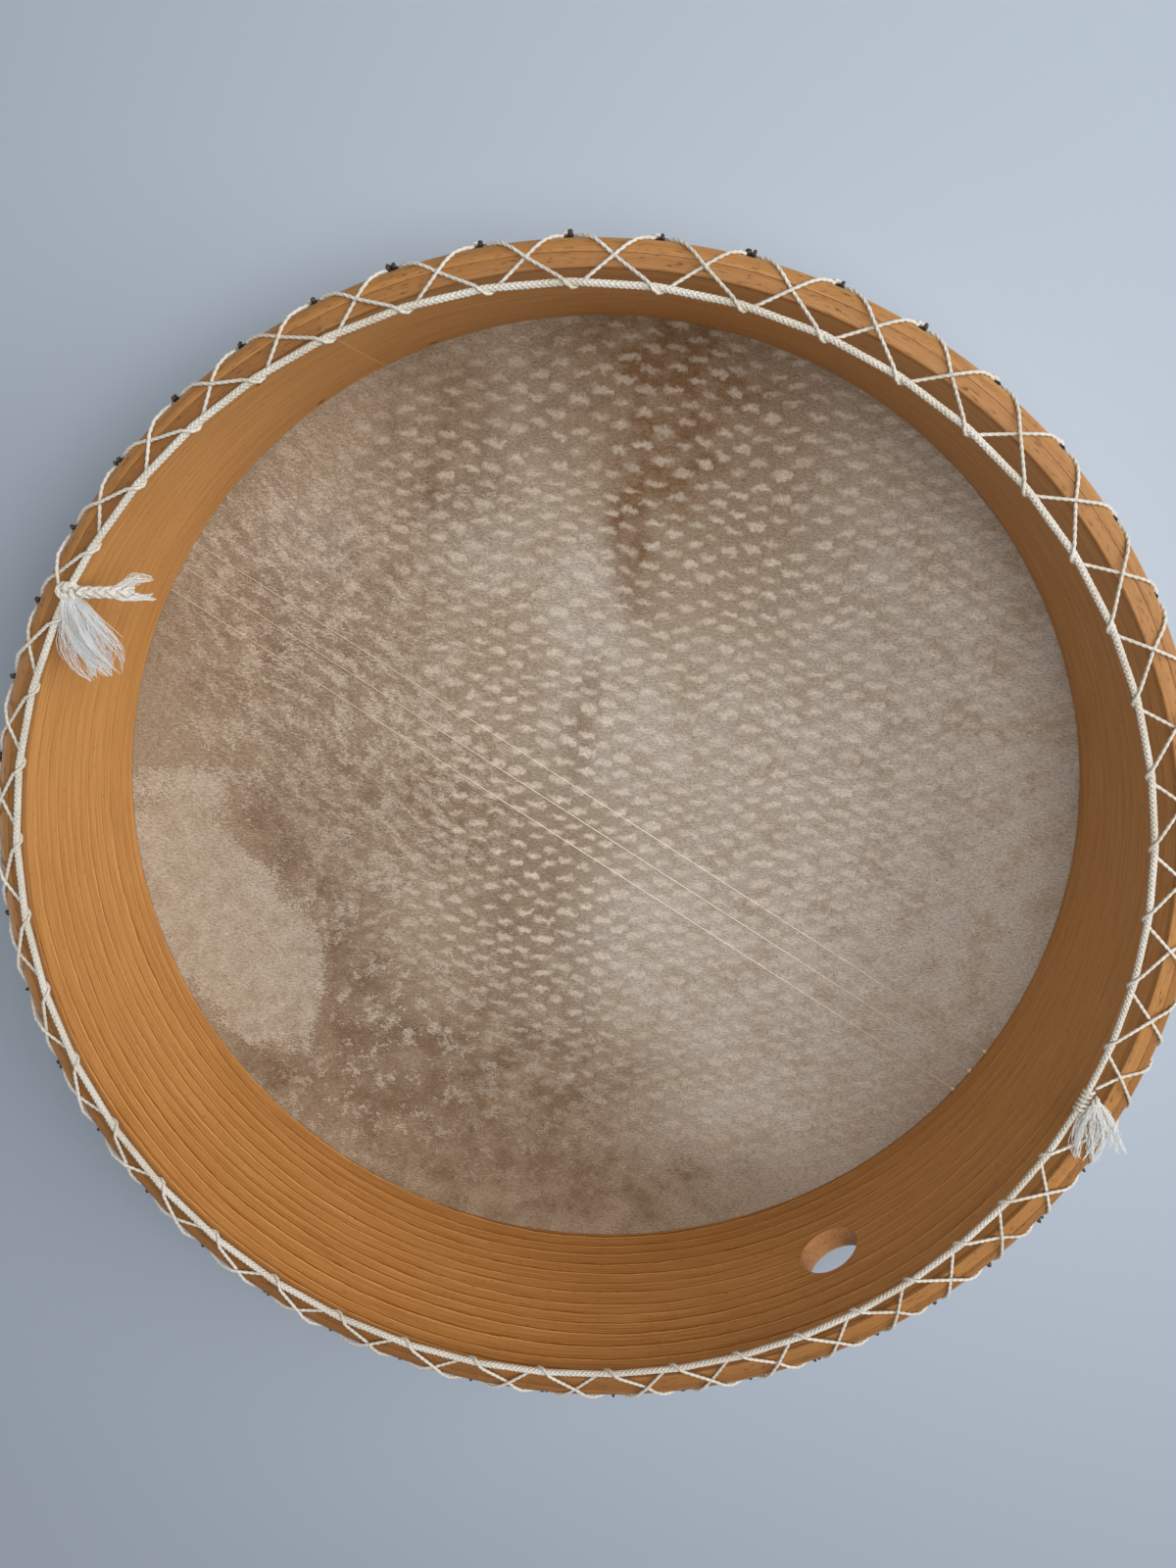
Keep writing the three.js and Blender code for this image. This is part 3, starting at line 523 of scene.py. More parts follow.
def goat_hide(colours):
    """Scraped goatskin, matte: the hair side's pigment shows as soft brown and grey tones with rows of
    blurred pale spots, one ragged unpigmented patch, pale smears and flakes left by the scraper, a cream
    collar, and a fine pored grain that breaks up every edge."""
    spot_columns, spot_rows, spot_slant = 8.0 * MM, 7.75 * MM, math.radians(-7)
    spot_half_width, spot_half_height = 3.7 * MM, 1.3 * MM
    hair_length, hair_width, hair_lie = 2.0 * MM, 0.7 * MM, math.radians(-12)
    smear_length, smear_width, smear_lie = 10 * MM, 4 * MM, math.radians(-40)
    crease_length, crease_width, crease_lie = 4 * MM, 0.7 * MM, math.radians(35)
    cloud_size, flake_size = 15 * MM, 6.5 * MM
    # Share of a step by which a spot may lie off its place
    jitter = 0.26
    # Pores lie about 0.4 mm apart; they are drawn wider, to show
    pore = 0.7 * MM
    material, tree, shader = new_material("scraped goatskin")
    # The patterns follow the hide as it lay before it was bent round the hoop
    flat = {"attribute_name": "laid_flat", "attribute_type": "GEOMETRY"}
    upright = node(tree, "ShaderNodeAttribute", out="Vector", **flat)
    tones = {
        name: node(tree, "ShaderNodeAttribute", out="Fac", attribute_name=name, attribute_type="GEOMETRY")
        for name in HIDE_TONES
    }
    pored = {"Vector": upright, "Scale": 1 / pore, "Detail": 2.0, "Roughness": 0.7}
    grain = node(tree, "ShaderNodeTexNoise", pored)
    lie = {"Vector": upright, "Rotation": (0, 0, hair_lie), "Scale": (hair_length, hair_width, hair_width)}
    strokes = node(tree, "ShaderNodeMapping", lie, vector_type="TEXTURE")
    hairy = {"Vector": strokes, "Scale": 1.0, "Detail": 4.0, "Roughness": 0.6}
    hairs = node(tree, "ShaderNodeTexNoise", hairy)
    both = node(tree, "ShaderNodeMath", {0: grain, 1: hairs}, operation="ADD")
    fuzz = node(tree, "ShaderNodeMath", {0: both, 1: 0.5, 2: -0.5}, operation="MULTIPLY_ADD")
    wide = {"Vector": upright, "Scale": 1 / cloud_size, "Detail": 8.0, "Roughness": 0.66}
    cloud = node(tree, "ShaderNodeTexNoise", wide)
    moved = upright
    for size, detail, reach in ((45 * MM, 1.0, 14 * MM), (3.4 * MM, 2.0, 4 * MM), (1.5 * MM, 2.0, 3 * MM)):
        warp = {"Vector": upright, "Scale": 1 / size, "Detail": detail}
        shift = node(tree, "ShaderNodeTexNoise", warp, out="Color")
        pushed = {0: shift, 1: (reach,) * 3, 2: moved}
        moved = node(tree, "ShaderNodeVectorMath", pushed, operation="MULTIPLY_ADD")

    # Pale spots in columns that are offset by half a step, each spot of its own place, size and strength
    grid = {"Vector": moved, "Rotation": (0, 0, spot_slant), "Scale": (spot_columns, spot_rows, 1)}
    step = node(tree, "ShaderNodeMapping", grid, vector_type="TEXTURE")
    xyz = node(tree, "ShaderNodeSeparateXYZ", {0: step}).node.outputs
    column = node(tree, "ShaderNodeMath", {0: xyz["X"]}, operation="ROUND")
    along = node(tree, "ShaderNodeMath", {0: column, 1: 0.5, 2: xyz["Y"]}, operation="MULTIPLY_ADD")
    row = node(tree, "ShaderNodeMath", {0: along}, operation="ROUND")
    spotted = node(tree, "ShaderNodeCombineXYZ", {"X": xyz["X"], "Y": along})
    cell = node(tree, "ShaderNodeCombineXYZ", {"X": column, "Y": row})
    chance = node(tree, "ShaderNodeTexWhiteNoise", {"Vector": cell}, out="Color")
    lots = node(tree, "ShaderNodeSeparateColor", {0: chance}).node.outputs
    strayed = {0: chance, 1: (jitter, jitter, 0), 2: cell}
    home = node(tree, "ShaderNodeVectorMath", strayed, operation="MULTIPLY_ADD")
    local = node(tree, "ShaderNodeVectorMath", {0: spotted, 1: home}, operation="SUBTRACT")
    back = (jitter / 2, jitter / 2, 0)
    centred = node(tree, "ShaderNodeVectorMath", {0: local, 1: back}, operation="ADD")
    shares = (spot_columns / spot_half_width, spot_rows / spot_half_height, 0)
    scaled = node(tree, "ShaderNodeVectorMath", {0: centred, 1: shares}, operation="MULTIPLY")
    far = node(tree, "ShaderNodeVectorMath", {0: scaled}, out="Value", operation="LENGTH")
    sized = node(tree, "ShaderNodeMath", {0: lots[2], 1: 0.3, 2: far}, operation="MULTIPLY_ADD")
    swollen = node(tree, "ShaderNodeMath", {0: tones["grey"], 1: -0.25, 2: sized}, operation="MULTIPLY_ADD")
    frayed = node(tree, "ShaderNodeMath", {0: fuzz, 1: 2.8, 2: swollen}, operation="MULTIPLY_ADD")
    fade = {"Value": frayed, 1: 0.5, 2: 1.6, 3: 1.0, 4: 0.0}
    spot = node(tree, "ShaderNodeMapRange", fade, interpolation_type="SMOOTHSTEP")
    strength = node(tree, "ShaderNodeMapRange", {"Value": lots[0], 3: 0.65, 4: 1.0})
    uneven = node(tree, "ShaderNodeMath", {0: spot, 1: strength}, operation="MULTIPLY")
    spots = node(tree, "ShaderNodeMath", {0: uneven, 1: tones["spots"]}, operation="MULTIPLY")

    # Flakes and long smears that the scraper left
    torn = {"Vector": moved, "Scale": 1 / flake_size, "Detail": 7.0, "Roughness": 0.7}
    flecked = node(tree, "ShaderNodeTexNoise", torn)
    slant = {"Vector": moved, "Rotation": (0, 0, smear_lie), "Scale": (smear_length, smear_width, 1)}
    pulled = node(tree, "ShaderNodeMapping", slant, vector_type="TEXTURE")
    wiped = {"Vector": pulled, "Scale": 1.0, "Detail": 7.0, "Roughness": 0.68}
    streaked = node(tree, "ShaderNodeTexNoise", wiped)
    left = {}
    marks = (("flaked", flecked, 0.53, 0.61, 0.85), ("smeared", streaked, 0.46, 0.62, 0.56))
    for name, field, low, high, most in marks:
        rough = node(tree, "ShaderNodeMath", {0: fuzz, 1: 0.4, 2: field}, operation="MULTIPLY_ADD")
        mark = node(tree, "ShaderNodeMapRange", {"Value": rough, 1: low, 2: high, 3: 0.0, 4: most})
        left[name] = node(tree, "ShaderNodeMath", {0: mark, 1: tones[name]}, operation="MULTIPLY")

    # Soft tones, broken up by the clouds
    broken = node(tree, "ShaderNodeMapRange", {"Value": cloud, 1: 0.34, 2: 0.66, 3: 0.25, 4: 1.6})
    soft = {
        name: node(tree, "ShaderNodeMath", {0: tones[name], 1: broken}, operation="MULTIPLY", use_clamp=True)
        for name in ("grey", "brown", "red")
    }
    # The collar is paler where it is stretched round the hoop: partly dried hide, partly painted light for
    # the dimly lit sides
    out = node(tree, "ShaderNodeVectorMath", {0: upright}, out="Value", operation="LENGTH")
    bent = node(tree, "ShaderNodeMapRange", {"Value": out, 1: HOOP_OUTER - 2 * MM, 2: HOOP_OUTER + 18 * MM})
    stained = node(tree, "ShaderNodeMapRange", {"Value": cloud, 1: 0.34, 2: 0.66, 3: 0.55, 4: 0.93})
    paler = node(tree, "ShaderNodeMath", {0: bent, 1: stained}, operation="MULTIPLY")
    # The pale patch keeps a crisp torn edge and is mottled inside
    bitten = node(tree, "ShaderNodeMath", {0: cloud, 1: 1.7, 2: tones["pale"]}, operation="MULTIPLY_ADD")
    furry = node(tree, "ShaderNodeMath", {0: fuzz, 1: 1.1, 2: bitten}, operation="MULTIPLY_ADD")
    edge = node(tree, "ShaderNodeMapRange", {"Value": furry, 1: 1.3, 2: 1.4})
    mottle = node(tree, "ShaderNodeMapRange", {"Value": flecked, 1: 0.36, 2: 0.6, 3: 0.3, 4: 1.0})
    patch = node(tree, "ShaderNodeMath", {0: edge, 1: mottle}, operation="MULTIPLY")
    # Creases: short dark strokes, painted shade in the folds
    folds = {"Vector": moved, "Rotation": (0, 0, crease_lie), "Scale": (crease_length, crease_width, 1)}
    folded = node(tree, "ShaderNodeMapping", folds, vector_type="TEXTURE")
    fold = node(tree, "ShaderNodeTexNoise", {"Vector": folded, "Scale": 1.0, "Detail": 3.0})
    crease = node(tree, "ShaderNodeMapRange", {"Value": fold, 1: 0.62, 2: 0.74, 3: 0.0, 4: 0.8})
    crease_shade = node(tree, "ShaderNodeMath", {0: crease, 1: tones["crease_shade"]}, operation="MULTIPLY")

    colour = (*colours.middle, 1)
    layers = (
        (soft["grey"], colours.grey),
        (soft["brown"], colours.brown),
        (soft["red"], colours.red),
        (paler, colours.collar),
        (left["smeared"], colours.spot),
        (spots, colours.spot),
        (left["flaked"], colours.pale),
        (patch, colours.pale),
        (crease_shade, colours.brown),
    )
    for share, tint in layers:
        mixed = {"Factor": share, 6: colour, 7: (*tint, 1)}
        colour = node(tree, "ShaderNodeMix", mixed, out=2, data_type="RGBA")
    darkest = node(tree, "ShaderNodeMapRange", {"Value": bent, 3: 0.5, 4: 0.75})
    palest = node(tree, "ShaderNodeMapRange", {"Value": bent, 3: 1.5, 4: 1.25})
    shade = node(tree, "ShaderNodeMapRange", {"Value": both, 1: 0.65, 2: 1.35, 3: darkest, 4: palest})
    light = node(tree, "ShaderNodeCombineXYZ", {0: shade, 1: shade, 2: shade})
    grained = node(tree, "ShaderNodeVectorMath", {0: colour, 1: light}, operation="MULTIPLY")
    dried = node(tree, "ShaderNodeAttribute", out="Fac", attribute_name="dried", attribute_type="GEOMETRY")
    edged = {"Factor": dried, 6: grained, 7: (*colours.dried, 1)}
    bump = node(tree, "ShaderNodeBump", {"Height": both, "Strength": 0.3, "Distance": 0.2 * MM})
    tree.links.new(node(tree, "ShaderNodeMix", edged, out=2, data_type="RGBA"), shader["Base Color"])
    tree.links.new(bump, shader["Normal"])
    shader["Roughness"].default_value = 0.8
    shader["Specular IOR Level"].default_value = 0.3
    return material


def dried_hide(colours):
    """Hide dried hard and black at a cut edge: horny, lumpy and slightly glossy, with a sheen painted paler
    on its ridges.
    """
    lump_size = 1.5 * MM
    material, tree, shader = new_material("dried hide edge")
    place = node(tree, "ShaderNodeTexCoord", out="Object")
    lumps = node(tree, "ShaderNodeTexNoise", {"Vector": place, "Scale": 1 / lump_size, "Detail": 4.0})
    # Painted sheen: the higher a lump stands, the paler it is painted
    tints = {"Factor": lumps, 6: (*colours.dried, 1), 7: (*colours.dried_ridge_sheen, 1)}
    bump = node(tree, "ShaderNodeBump", {"Height": lumps, "Strength": 0.5, "Distance": 0.3 * MM})
    tree.links.new(node(tree, "ShaderNodeMix", tints, out=2, data_type="RGBA"), shader["Base Color"])
    tree.links.new(bump, shader["Normal"])
    shader["Roughness"].default_value = 0.5
    return material


def spun_cotton(name, clean, soiled):
    """Spun cotton, unbleached: matte and slightly fuzzy, with fine yarn strokes and grey-brown handling."""
    yarn, blotch = 0.4 * MM, 14 * MM
    material, tree, shader = new_material(name)
    place = node(tree, "ShaderNodeTexCoord", out="Object")
    fuzz = node(tree, "ShaderNodeTexNoise", {"Vector": place, "Scale": 1 / yarn, "Detail": 3.0})
    dirt = node(tree, "ShaderNodeTexNoise", {"Vector": place, "Scale": 1 / blotch, "Detail": 4.0})
    both = node(tree, "ShaderNodeMath", {0: fuzz, 1: 0.5, 2: dirt}, operation="MULTIPLY_ADD")
    share = node(tree, "ShaderNodeMapRange", {"Value": both, 1: 0.62, 2: 1.0, 3: 0.0, 4: 0.8})
    tints = {"Factor": share, 6: (*clean, 1), 7: (*soiled, 1)}
    bump = node(tree, "ShaderNodeBump", {"Height": fuzz, "Strength": 0.4, "Distance": 0.1 * MM})
    tree.links.new(node(tree, "ShaderNodeMix", tints, out=2, data_type="RGBA"), shader["Base Color"])
    tree.links.new(bump, shader["Normal"])
    shader["Roughness"].default_value = 0.88
    shader["Sheen Weight"].default_value = 0.25
    shader["Sheen Roughness"].default_value = 0.5
    return material


def drawn_nylon(colours):
    """Drawn nylon line: glossy, so that it shows as a thin pale thread, with a highlight painted whiter on
    it from the middle of the head towards the knots."""
    haze_size = 6 * MM
    # Along a line, from the head's middle: where the painted highlight starts, and where it fades out
    glint_start, fade_start, fade_end = -110 * MM, 105 * MM, 160 * MM
    material, tree, shader = new_material("drawn nylon")
    place = node(tree, "ShaderNodeTexCoord", out="Object")
    haze = node(tree, "ShaderNodeTexNoise", {"Vector": place, "Scale": 1 / haze_size, "Detail": 2.0})
    gloss = node(tree, "ShaderNodeMapRange", {"Value": haze, 3: 0.2, 4: 0.4})
    aim = polar(1, SNARE_ANGLE, 0)
    along = node(tree, "ShaderNodeVectorMath", {0: place, 1: aim}, out="Value", operation="DOT_PRODUCT")
    # Painted highlight: the line is painted whiter from the middle of the head towards the knots, where
    # light catches it
    rubbed = node(tree, "ShaderNodeMapRange", {"Value": along, 1: glint_start, 2: 0.0})
    faded = {"Value": along, 1: fade_start, 2: fade_end, 3: 1.0, 4: 0.0}
    glint_fade = node(tree, "ShaderNodeMapRange", faded)
    white = node(tree, "ShaderNodeMath", {0: rubbed, 1: glint_fade}, operation="MULTIPLY")
    tints = {"Factor": white, 6: (*colours.clear_line, 1), 7: (*colours.nylon, 1)}
    tree.links.new(node(tree, "ShaderNodeMix", tints, out=2, data_type="RGBA"), shader["Base Color"])
    tree.links.new(gloss, shader["Roughness"])
    shader["IOR"].default_value = 1.53
    return material


def backdrop_rays(tree):
    """1 for rays that show the backdrop, straight or reflected, and 0 for those that light the drum."""
    path = node(tree, "ShaderNodeLightPath").node.outputs
    seen = path["Is Camera Ray"]
    for kind in ("Is Glossy Ray", "Is Transmission Ray"):
        seen = node(tree, "ShaderNodeMath", {0: seen, 1: path[kind]}, operation="MAXIMUM")
    return seen


def matt_floor(settings):
    """Matt paint on a smooth board: a plain pale ground with the faintest roller texture, which runs into
    the backdrop well away from the drum."""
    roller_size = 3 * MM
    material, tree, shader = new_material("matt floor paint")
    place = node(tree, "ShaderNodeTexCoord", out="Object")
    roller = node(tree, "ShaderNodeTexNoise", {"Vector": place, "Scale": 1 / roller_size, "Detail": 2.0})
    bump = node(tree, "ShaderNodeBump", {"Height": roller, "Strength": 0.05, "Distance": 0.2 * MM})
    tree.links.new(bump, shader["Normal"])
    shader["Base Color"].default_value = (*settings.floor, 1)
    shader["Roughness"].default_value = 0.9
    reach = node(tree, "ShaderNodeVectorMath", {0: place}, out="Value", operation="LENGTH")
    blend = {"Value": reach, 1: settings.blend_from, 2: settings.blend_to}
    far = node(tree, "ShaderNodeMapRange", blend, interpolation_type="SMOOTHSTEP")
    share = node(tree, "ShaderNodeMath", {0: far, 1: backdrop_rays(tree)}, operation="MULTIPLY")
    glow = {"Color": (*settings.sky, 1), "Strength": settings.backdrop_level}
    paint = shader["Base Color"].node.outputs[0]
    both = {0: share, 1: paint, 2: node(tree, "ShaderNodeEmission", glow)}
    surface = node(tree, "ShaderNodeMixShader", both)
    tree.links.new(surface, tree.nodes["Material Output"].inputs["Surface"])
    return material


def polar(radius, angle, z):
    """A point given by its distance from the drum's axis, its angle and its height."""
    return Vector((radius * math.cos(angle), radius * math.sin(angle), z))


def lace_angle(k):
    """Angle of the k-th lacing place, counted from the lacing knot, spaced unevenly by hand."""
    even = TURN * k / LACE_HOLES
    drift = DRIFT_ONCE * math.sin(even) + DRIFT_TWICE * math.cos(2 * even - DRIFT_PHASE)
    return LACE_START + even - drift / HOOP_INNER


def ring_at(angle):
    """Distance of the ring cord from the drum's axis; it hangs a little to one side."""
    return HOOP_INNER - RING_INSET + RING_SET_OVER * math.cos(angle - RING_SET_ANGLE)


def beside_ring(angle, turn, distance):
    """A point beside the ring cord; turn 0 is outwards and a quarter turn is up."""
    return polar(ring_at(angle) + distance * math.cos(turn), angle, RING_Z + distance * math.sin(turn))


def over_shoulder(distance, lift, angle):
    """A place over the hoop's back, measured outwards from the shoulder's start, lifted off the wood."""
    turn = min(max(distance / SHOULDER, 0), TURN / 4)
    down = max(distance - SHOULDER * TURN / 4, 0)
    reach = SHOULDER + lift
    radius = HOOP_OUTER - SHOULDER + min(distance, 0) + reach * math.sin(turn)
    return polar(radius, angle, HOOP_BACK - SHOULDER + reach * math.cos(turn) - down)


def leg(ring_angle, tab_angle, crossing, raised):
    """One leg of the lacing from the ring outwards; a raised one climbs over the leg that it crosses."""
    start = ring_at(ring_angle) - HOOP_OUTER + SHOULDER
    run = TAB_TOP - start
    length = math.hypot(run, (tab_angle - ring_angle) * HOOP_INNER)
    rounds = [(SHOULDER * TURN / 4 * station - start) / run for station in SHOULDER_STATIONS]
    clear = [s for s in rounds if s > 0 and abs(s - crossing) * length > LACE_DIAMETER]
    points = []
    for share in sorted([crossing, *clear, 1]):
        climb = max(0, 1 - abs(share - crossing) * length / CROSSING_RUN) * CROSSING_LIFT if raised else 0
        angle = ring_angle + (tab_angle - ring_angle) * share
        points.append(over_shoulder(start + run * share, LACE_REST + climb, angle))
    return points


WRAP_HALF = WRAP_ADVANCE / 2 / HOOP_INNER
TIP_HALF = TIP_SPREAD / HOOP_INNER
WHIP_PITCH = 1.4 * LACE_DIAMETER / (ring_at(lace_angle(0)) - WRAP_RADIUS)


def arrives(k):
    """Where a leg comes in under the ring."""
    return lace_angle(k) - WRAP_HALF


def leaves(k):
    """Where a leg leaves the ring; the first one leaves beyond the whipping."""
    if k % LACE_HOLES == 0:
        return arrives(k) + WHIP_PITCH * (WHIP_TURNS + 1)
    return lace_angle(k) + WRAP_HALF


def crossing_share(k):
    """Share of the run at which the legs between the k-th and the next place cross."""
    out = leaves(k), lace_angle(k + 1) - TIP_HALF
    back = arrives(k + 1), lace_angle(k) + TIP_HALF
    return (back[0] - out[0]) / (out[1] - out[0] - back[1] + back[0])


def wrap(k):
    """Under the ring, up its inner side and over the top."""
    shares = [i / WRAP_STEPS for i in range(WRAP_STEPS + 1)]
    turn = WRAP_END - WRAP_START
    return [beside_ring(arrives(k) + 2 * WRAP_HALF * s, WRAP_START + turn * s, WRAP_RADIUS) for s in shares]


def through_tab(k):
    """Down under a tab, out through its hole and back round the side of its tip."""
    angle = lace_angle(k)
    outside = SKIN_INNER + SKIN_THICKNESS + LACE_REST
    return [
        polar(HOOP_OUTER + LACE_REST, angle, LACE_HOLE_Z),
        polar(outside + TAB_FLARE, angle, LACE_HOLE_Z),
        polar(outside + TAB_FLARE / 2, angle + TIP_HALF, LACE_HOLE_Z + LACE_DIAMETER),
    ]


def whipping():
    """Turns of the lace's last end round the ring."""
    turns = [i / WHIP_STEPS for i in range(int(WHIP_TURNS * WHIP_STEPS) + 1)]
    start = arrives(2 * LACE_HOLES)
    return [beside_ring(start + WHIP_PITCH * t, -TURN * (t + 1 / 4), WRAP_RADIUS) for t in turns]


def lace_path():
    """The whole lace: ring, tab, ring, tab, twice round, the second round laid over the first."""
    path = [beside_ring(leaves(0), WRAP_END, WRAP_RADIUS)]
    for step in range(2 * LACE_HOLES):
        raised = step >= LACE_HOLES
        if step % 2 == 0:
            path += leg(leaves(step), lace_angle(step + 1) - TIP_HALF, crossing_share(step), raised)
            path += through_tab(step + 1)
        else:
            inwards = leg(arrives(step + 1), lace_angle(step) + TIP_HALF, crossing_share(step), raised)
            path += reversed(inwards)
            path += whipping() if step + 1 == 2 * LACE_HOLES else wrap(step + 1)
    return path


def knot_reach(strand):
    """Half the width of a knot tied in this strand."""
    return 2 * strand


def knot_path(strand, place, steps=120):
    """A tight overhand knot round the origin, laid in its place."""
    points = []
    for i in range(steps):
        turn = 2 * TURN * i / steps
        out = strand * (2 + math.cos(1.5 * turn)) / 2
        point = Vector((out * math.cos(turn), out * math.sin(turn), strand * math.sin(1.5 * turn) / 2))
        points.append(place @ point)
    return points


def ring_path(knot_strand):
    """The ring cord from one side of its knot round to the other, straight from wrap to wrap."""
    tucked = 0.6 * MM
    clear = (knot_reach(knot_strand) - tucked) / ring_at(RING_KNOT_ANGLE)
    start, end = RING_KNOT_ANGLE + clear, RING_KNOT_ANGLE + TURN - clear
    wraps = [a for a in map(lace_angle, range(-LACE_HOLES, 2 * LACE_HOLES)) if start < a < end]
    return [beside_ring(angle, 0, 0) for angle in (start, *wraps, end)]


def loose_end(middle, away, reach, length, droop, steps=12):
    """A cord's end that starts beside a knot and leads away in plan, drooping towards its tip."""
    out = Vector((math.cos(away), math.sin(away), 0))
    shares = [i / steps for i in range(steps + 1)]
    return [middle + out * (reach + length * s) - UP * (droop * s * s) for s in shares]


def new_tree(name, inputs):
    """A geometry node tree with named inputs: the tree and its input sockets."""
    tree = bpy.data.node_groups.new(name, "GeometryNodeTree")
    tree.interface.new_socket("Geometry", in_out="INPUT", socket_type="NodeSocketGeometry")
    for label, kind in inputs.items():
        tree.interface.new_socket(label, in_out="INPUT", socket_type=kind)
    tree.interface.new_socket("Material", in_out="INPUT", socket_type="NodeSocketMaterial")
    tree.interface.new_socket("Geometry", in_out="OUTPUT", socket_type="NodeSocketGeometry")
    return tree, node(tree, "NodeGroupInput").node.outputs


def close_tree(tree, geometry, material):
    """Ends a tree: real geometry, smooth, in its material."""
    real = node(tree, "GeometryNodeRealizeInstances", {"Geometry": geometry})
    smooth = node(tree, "GeometryNodeSetShadeSmooth", {"Geometry": real})
    painted = node(tree, "GeometryNodeSetMaterial", {"Geometry": smooth, "Material": material})
    node(tree, "NodeGroupOutput", {0: painted})
    return tree


def rounded_curve(tree, given):
    """The carrier's edges as a curve with its corners rounded, in even steps."""
    curve = node(tree, "GeometryNodeMeshToCurve", {"Mesh": given["Geometry"]})
    corners = {"Curve": curve, "Radius": given["Corner"], "Limit Radius": True, "Count": 4}
    filleted = node(tree, "GeometryNodeFilletCurve", corners, mode="POLY")
    steps = {"Curve": filleted, "Length": given["Step"]}
    return node(tree, "GeometryNodeResampleCurve", steps, mode="LENGTH")


def wound_angle(tree, given):
    """The angle that a cord's strands have turned through along its length."""
    along = node(tree, "GeometryNodeSplineParameter", out="Length")
    turns = node(tree, "ShaderNodeMath", {0: along, 1: given["Pitch"]}, operation="DIVIDE")
    return node(tree, "ShaderNodeMath", {0: turns, 1: TURN}, operation="MULTIPLY")


def twisted_cord_tree():
    """A cord of plies twisted together: a lobed section that turns as it runs along."""
    lengths = ("Diameter", "Pitch", "Corner", "Step", "Plies", "Lobe")
    tree, given = new_tree("Twisted cord", {name: "NodeSocketFloat" for name in lengths})
    curve = rounded_curve(tree, given)
    tilted = {"Curve": curve, "Tilt": wound_angle(tree, given)}
    twisted = node(tree, "GeometryNodeSetCurveTilt", tilted)
    circle = node(tree, "GeometryNodeCurvePrimitiveCircle", {"Resolution": 12, "Radius": 0.5})
    place = node(tree, "GeometryNodeInputPosition")
    xyz = node(tree, "ShaderNodeSeparateXYZ", {0: place}).node.outputs
    angle = node(tree, "ShaderNodeMath", {0: xyz["Y"], 1: xyz["X"]}, operation="ARCTAN2")
    lobes = node(tree, "ShaderNodeMath", {0: angle, 1: given["Plies"]}, operation="MULTIPLY")
    wave = node(tree, "ShaderNodeMath", {0: lobes}, operation="COSINE")
    swell = node(tree, "ShaderNodeMath", {0: wave, 1: given["Lobe"], 2: 1.0}, operation="MULTIPLY_ADD")
    size = node(tree, "ShaderNodeMath", {0: swell, 1: given["Diameter"]}, operation="MULTIPLY")
    lobed = node(tree, "ShaderNodeVectorMath", {0: place, "Scale": size}, operation="SCALE")
    section = node(tree, "GeometryNodeSetPosition", {"Geometry": circle, "Position": lobed})
    sweep = {"Curve": twisted, "Profile Curve": section, "Fill Caps": True}
    return close_tree(tree, node(tree, "GeometryNodeCurveToMesh", sweep), given["Material"])


def braided_cord_tree():
    """A round braid: strands that wind both ways over a core, passing over and under each other."""
    lengths = ("Diameter", "Pitch", "Corner", "Step")
    tree, given = new_tree("Braided cord", {name: "NodeSocketFloat" for name in lengths})
    strands, sides, strand_share, weave_share, core_share = 8, 4, 0.16, 0.04, 0.38
    curve = rounded_curve(tree, given)
    many = {"Geometry": curve, "Amount": strands}
    copies = node(tree, "GeometryNodeDuplicateElements", many, domain="SPLINE")
    number = copies.node.outputs[1]
    half = node(tree, "ShaderNodeMath", {0: number, 1: 2.0}, operation="MODULO")
    way = node(tree, "ShaderNodeMath", {0: half, 1: -2.0, 2: 1.0}, operation="MULTIPLY_ADD")
    pair = node(tree, "ShaderNodeMath", {0: number, 1: half}, operation="SUBTRACT")
    phase = node(tree, "ShaderNodeMath", {0: pair, 1: TURN / strands}, operation="MULTIPLY")
    wound = wound_angle(tree, given)
    angle = node(tree, "ShaderNodeMath", {0: wound, 1: way, 2: phase}, operation="MULTIPLY_ADD")
    often = node(tree, "ShaderNodeMath", {0: wound, 1: strands / 2}, operation="MULTIPLY")
    weave = node(tree, "ShaderNodeMath", {0: often}, operation="COSINE")
    over = node(tree, "ShaderNodeMath", {0: weave, 1: way}, operation="MULTIPLY")
    base = 0.5 - strand_share - weave_share / 2
    share = node(tree, "ShaderNodeMath", {0: over, 1: weave_share, 2: base}, operation="MULTIPLY_ADD")
    radius = node(tree, "ShaderNodeMath", {0: share, 1: given["Diameter"]}, operation="MULTIPLY")
    spun = {
        "Vector": node(tree, "GeometryNodeInputNormal"),
        "Axis": node(tree, "GeometryNodeInputTangent"),
        "Angle": angle,
    }
    turned = node(tree, "ShaderNodeVectorRotate", spun, rotation_type="AXIS_ANGLE")
    offset = node(tree, "ShaderNodeVectorMath", {0: turned, "Scale": radius}, operation="SCALE")
    wavy = node(tree, "GeometryNodeSetPosition", {"Geometry": copies, "Offset": offset})
    both = node(tree, "GeometryNodeJoinGeometry")
    for path, thickness in ((curve, core_share), (wavy, strand_share)):
        size = node(tree, "ShaderNodeMath", {0: given["Diameter"], 1: thickness}, operation="MULTIPLY")
        section = node(tree, "GeometryNodeCurvePrimitiveCircle", {"Resolution": sides, "Radius": size})
        sweep = {"Curve": path, "Profile Curve": section, "Fill Caps": True}
        tree.links.new(node(tree, "GeometryNodeCurveToMesh", sweep), both.node.inputs[0])
    return close_tree(tree, both, given["Material"])


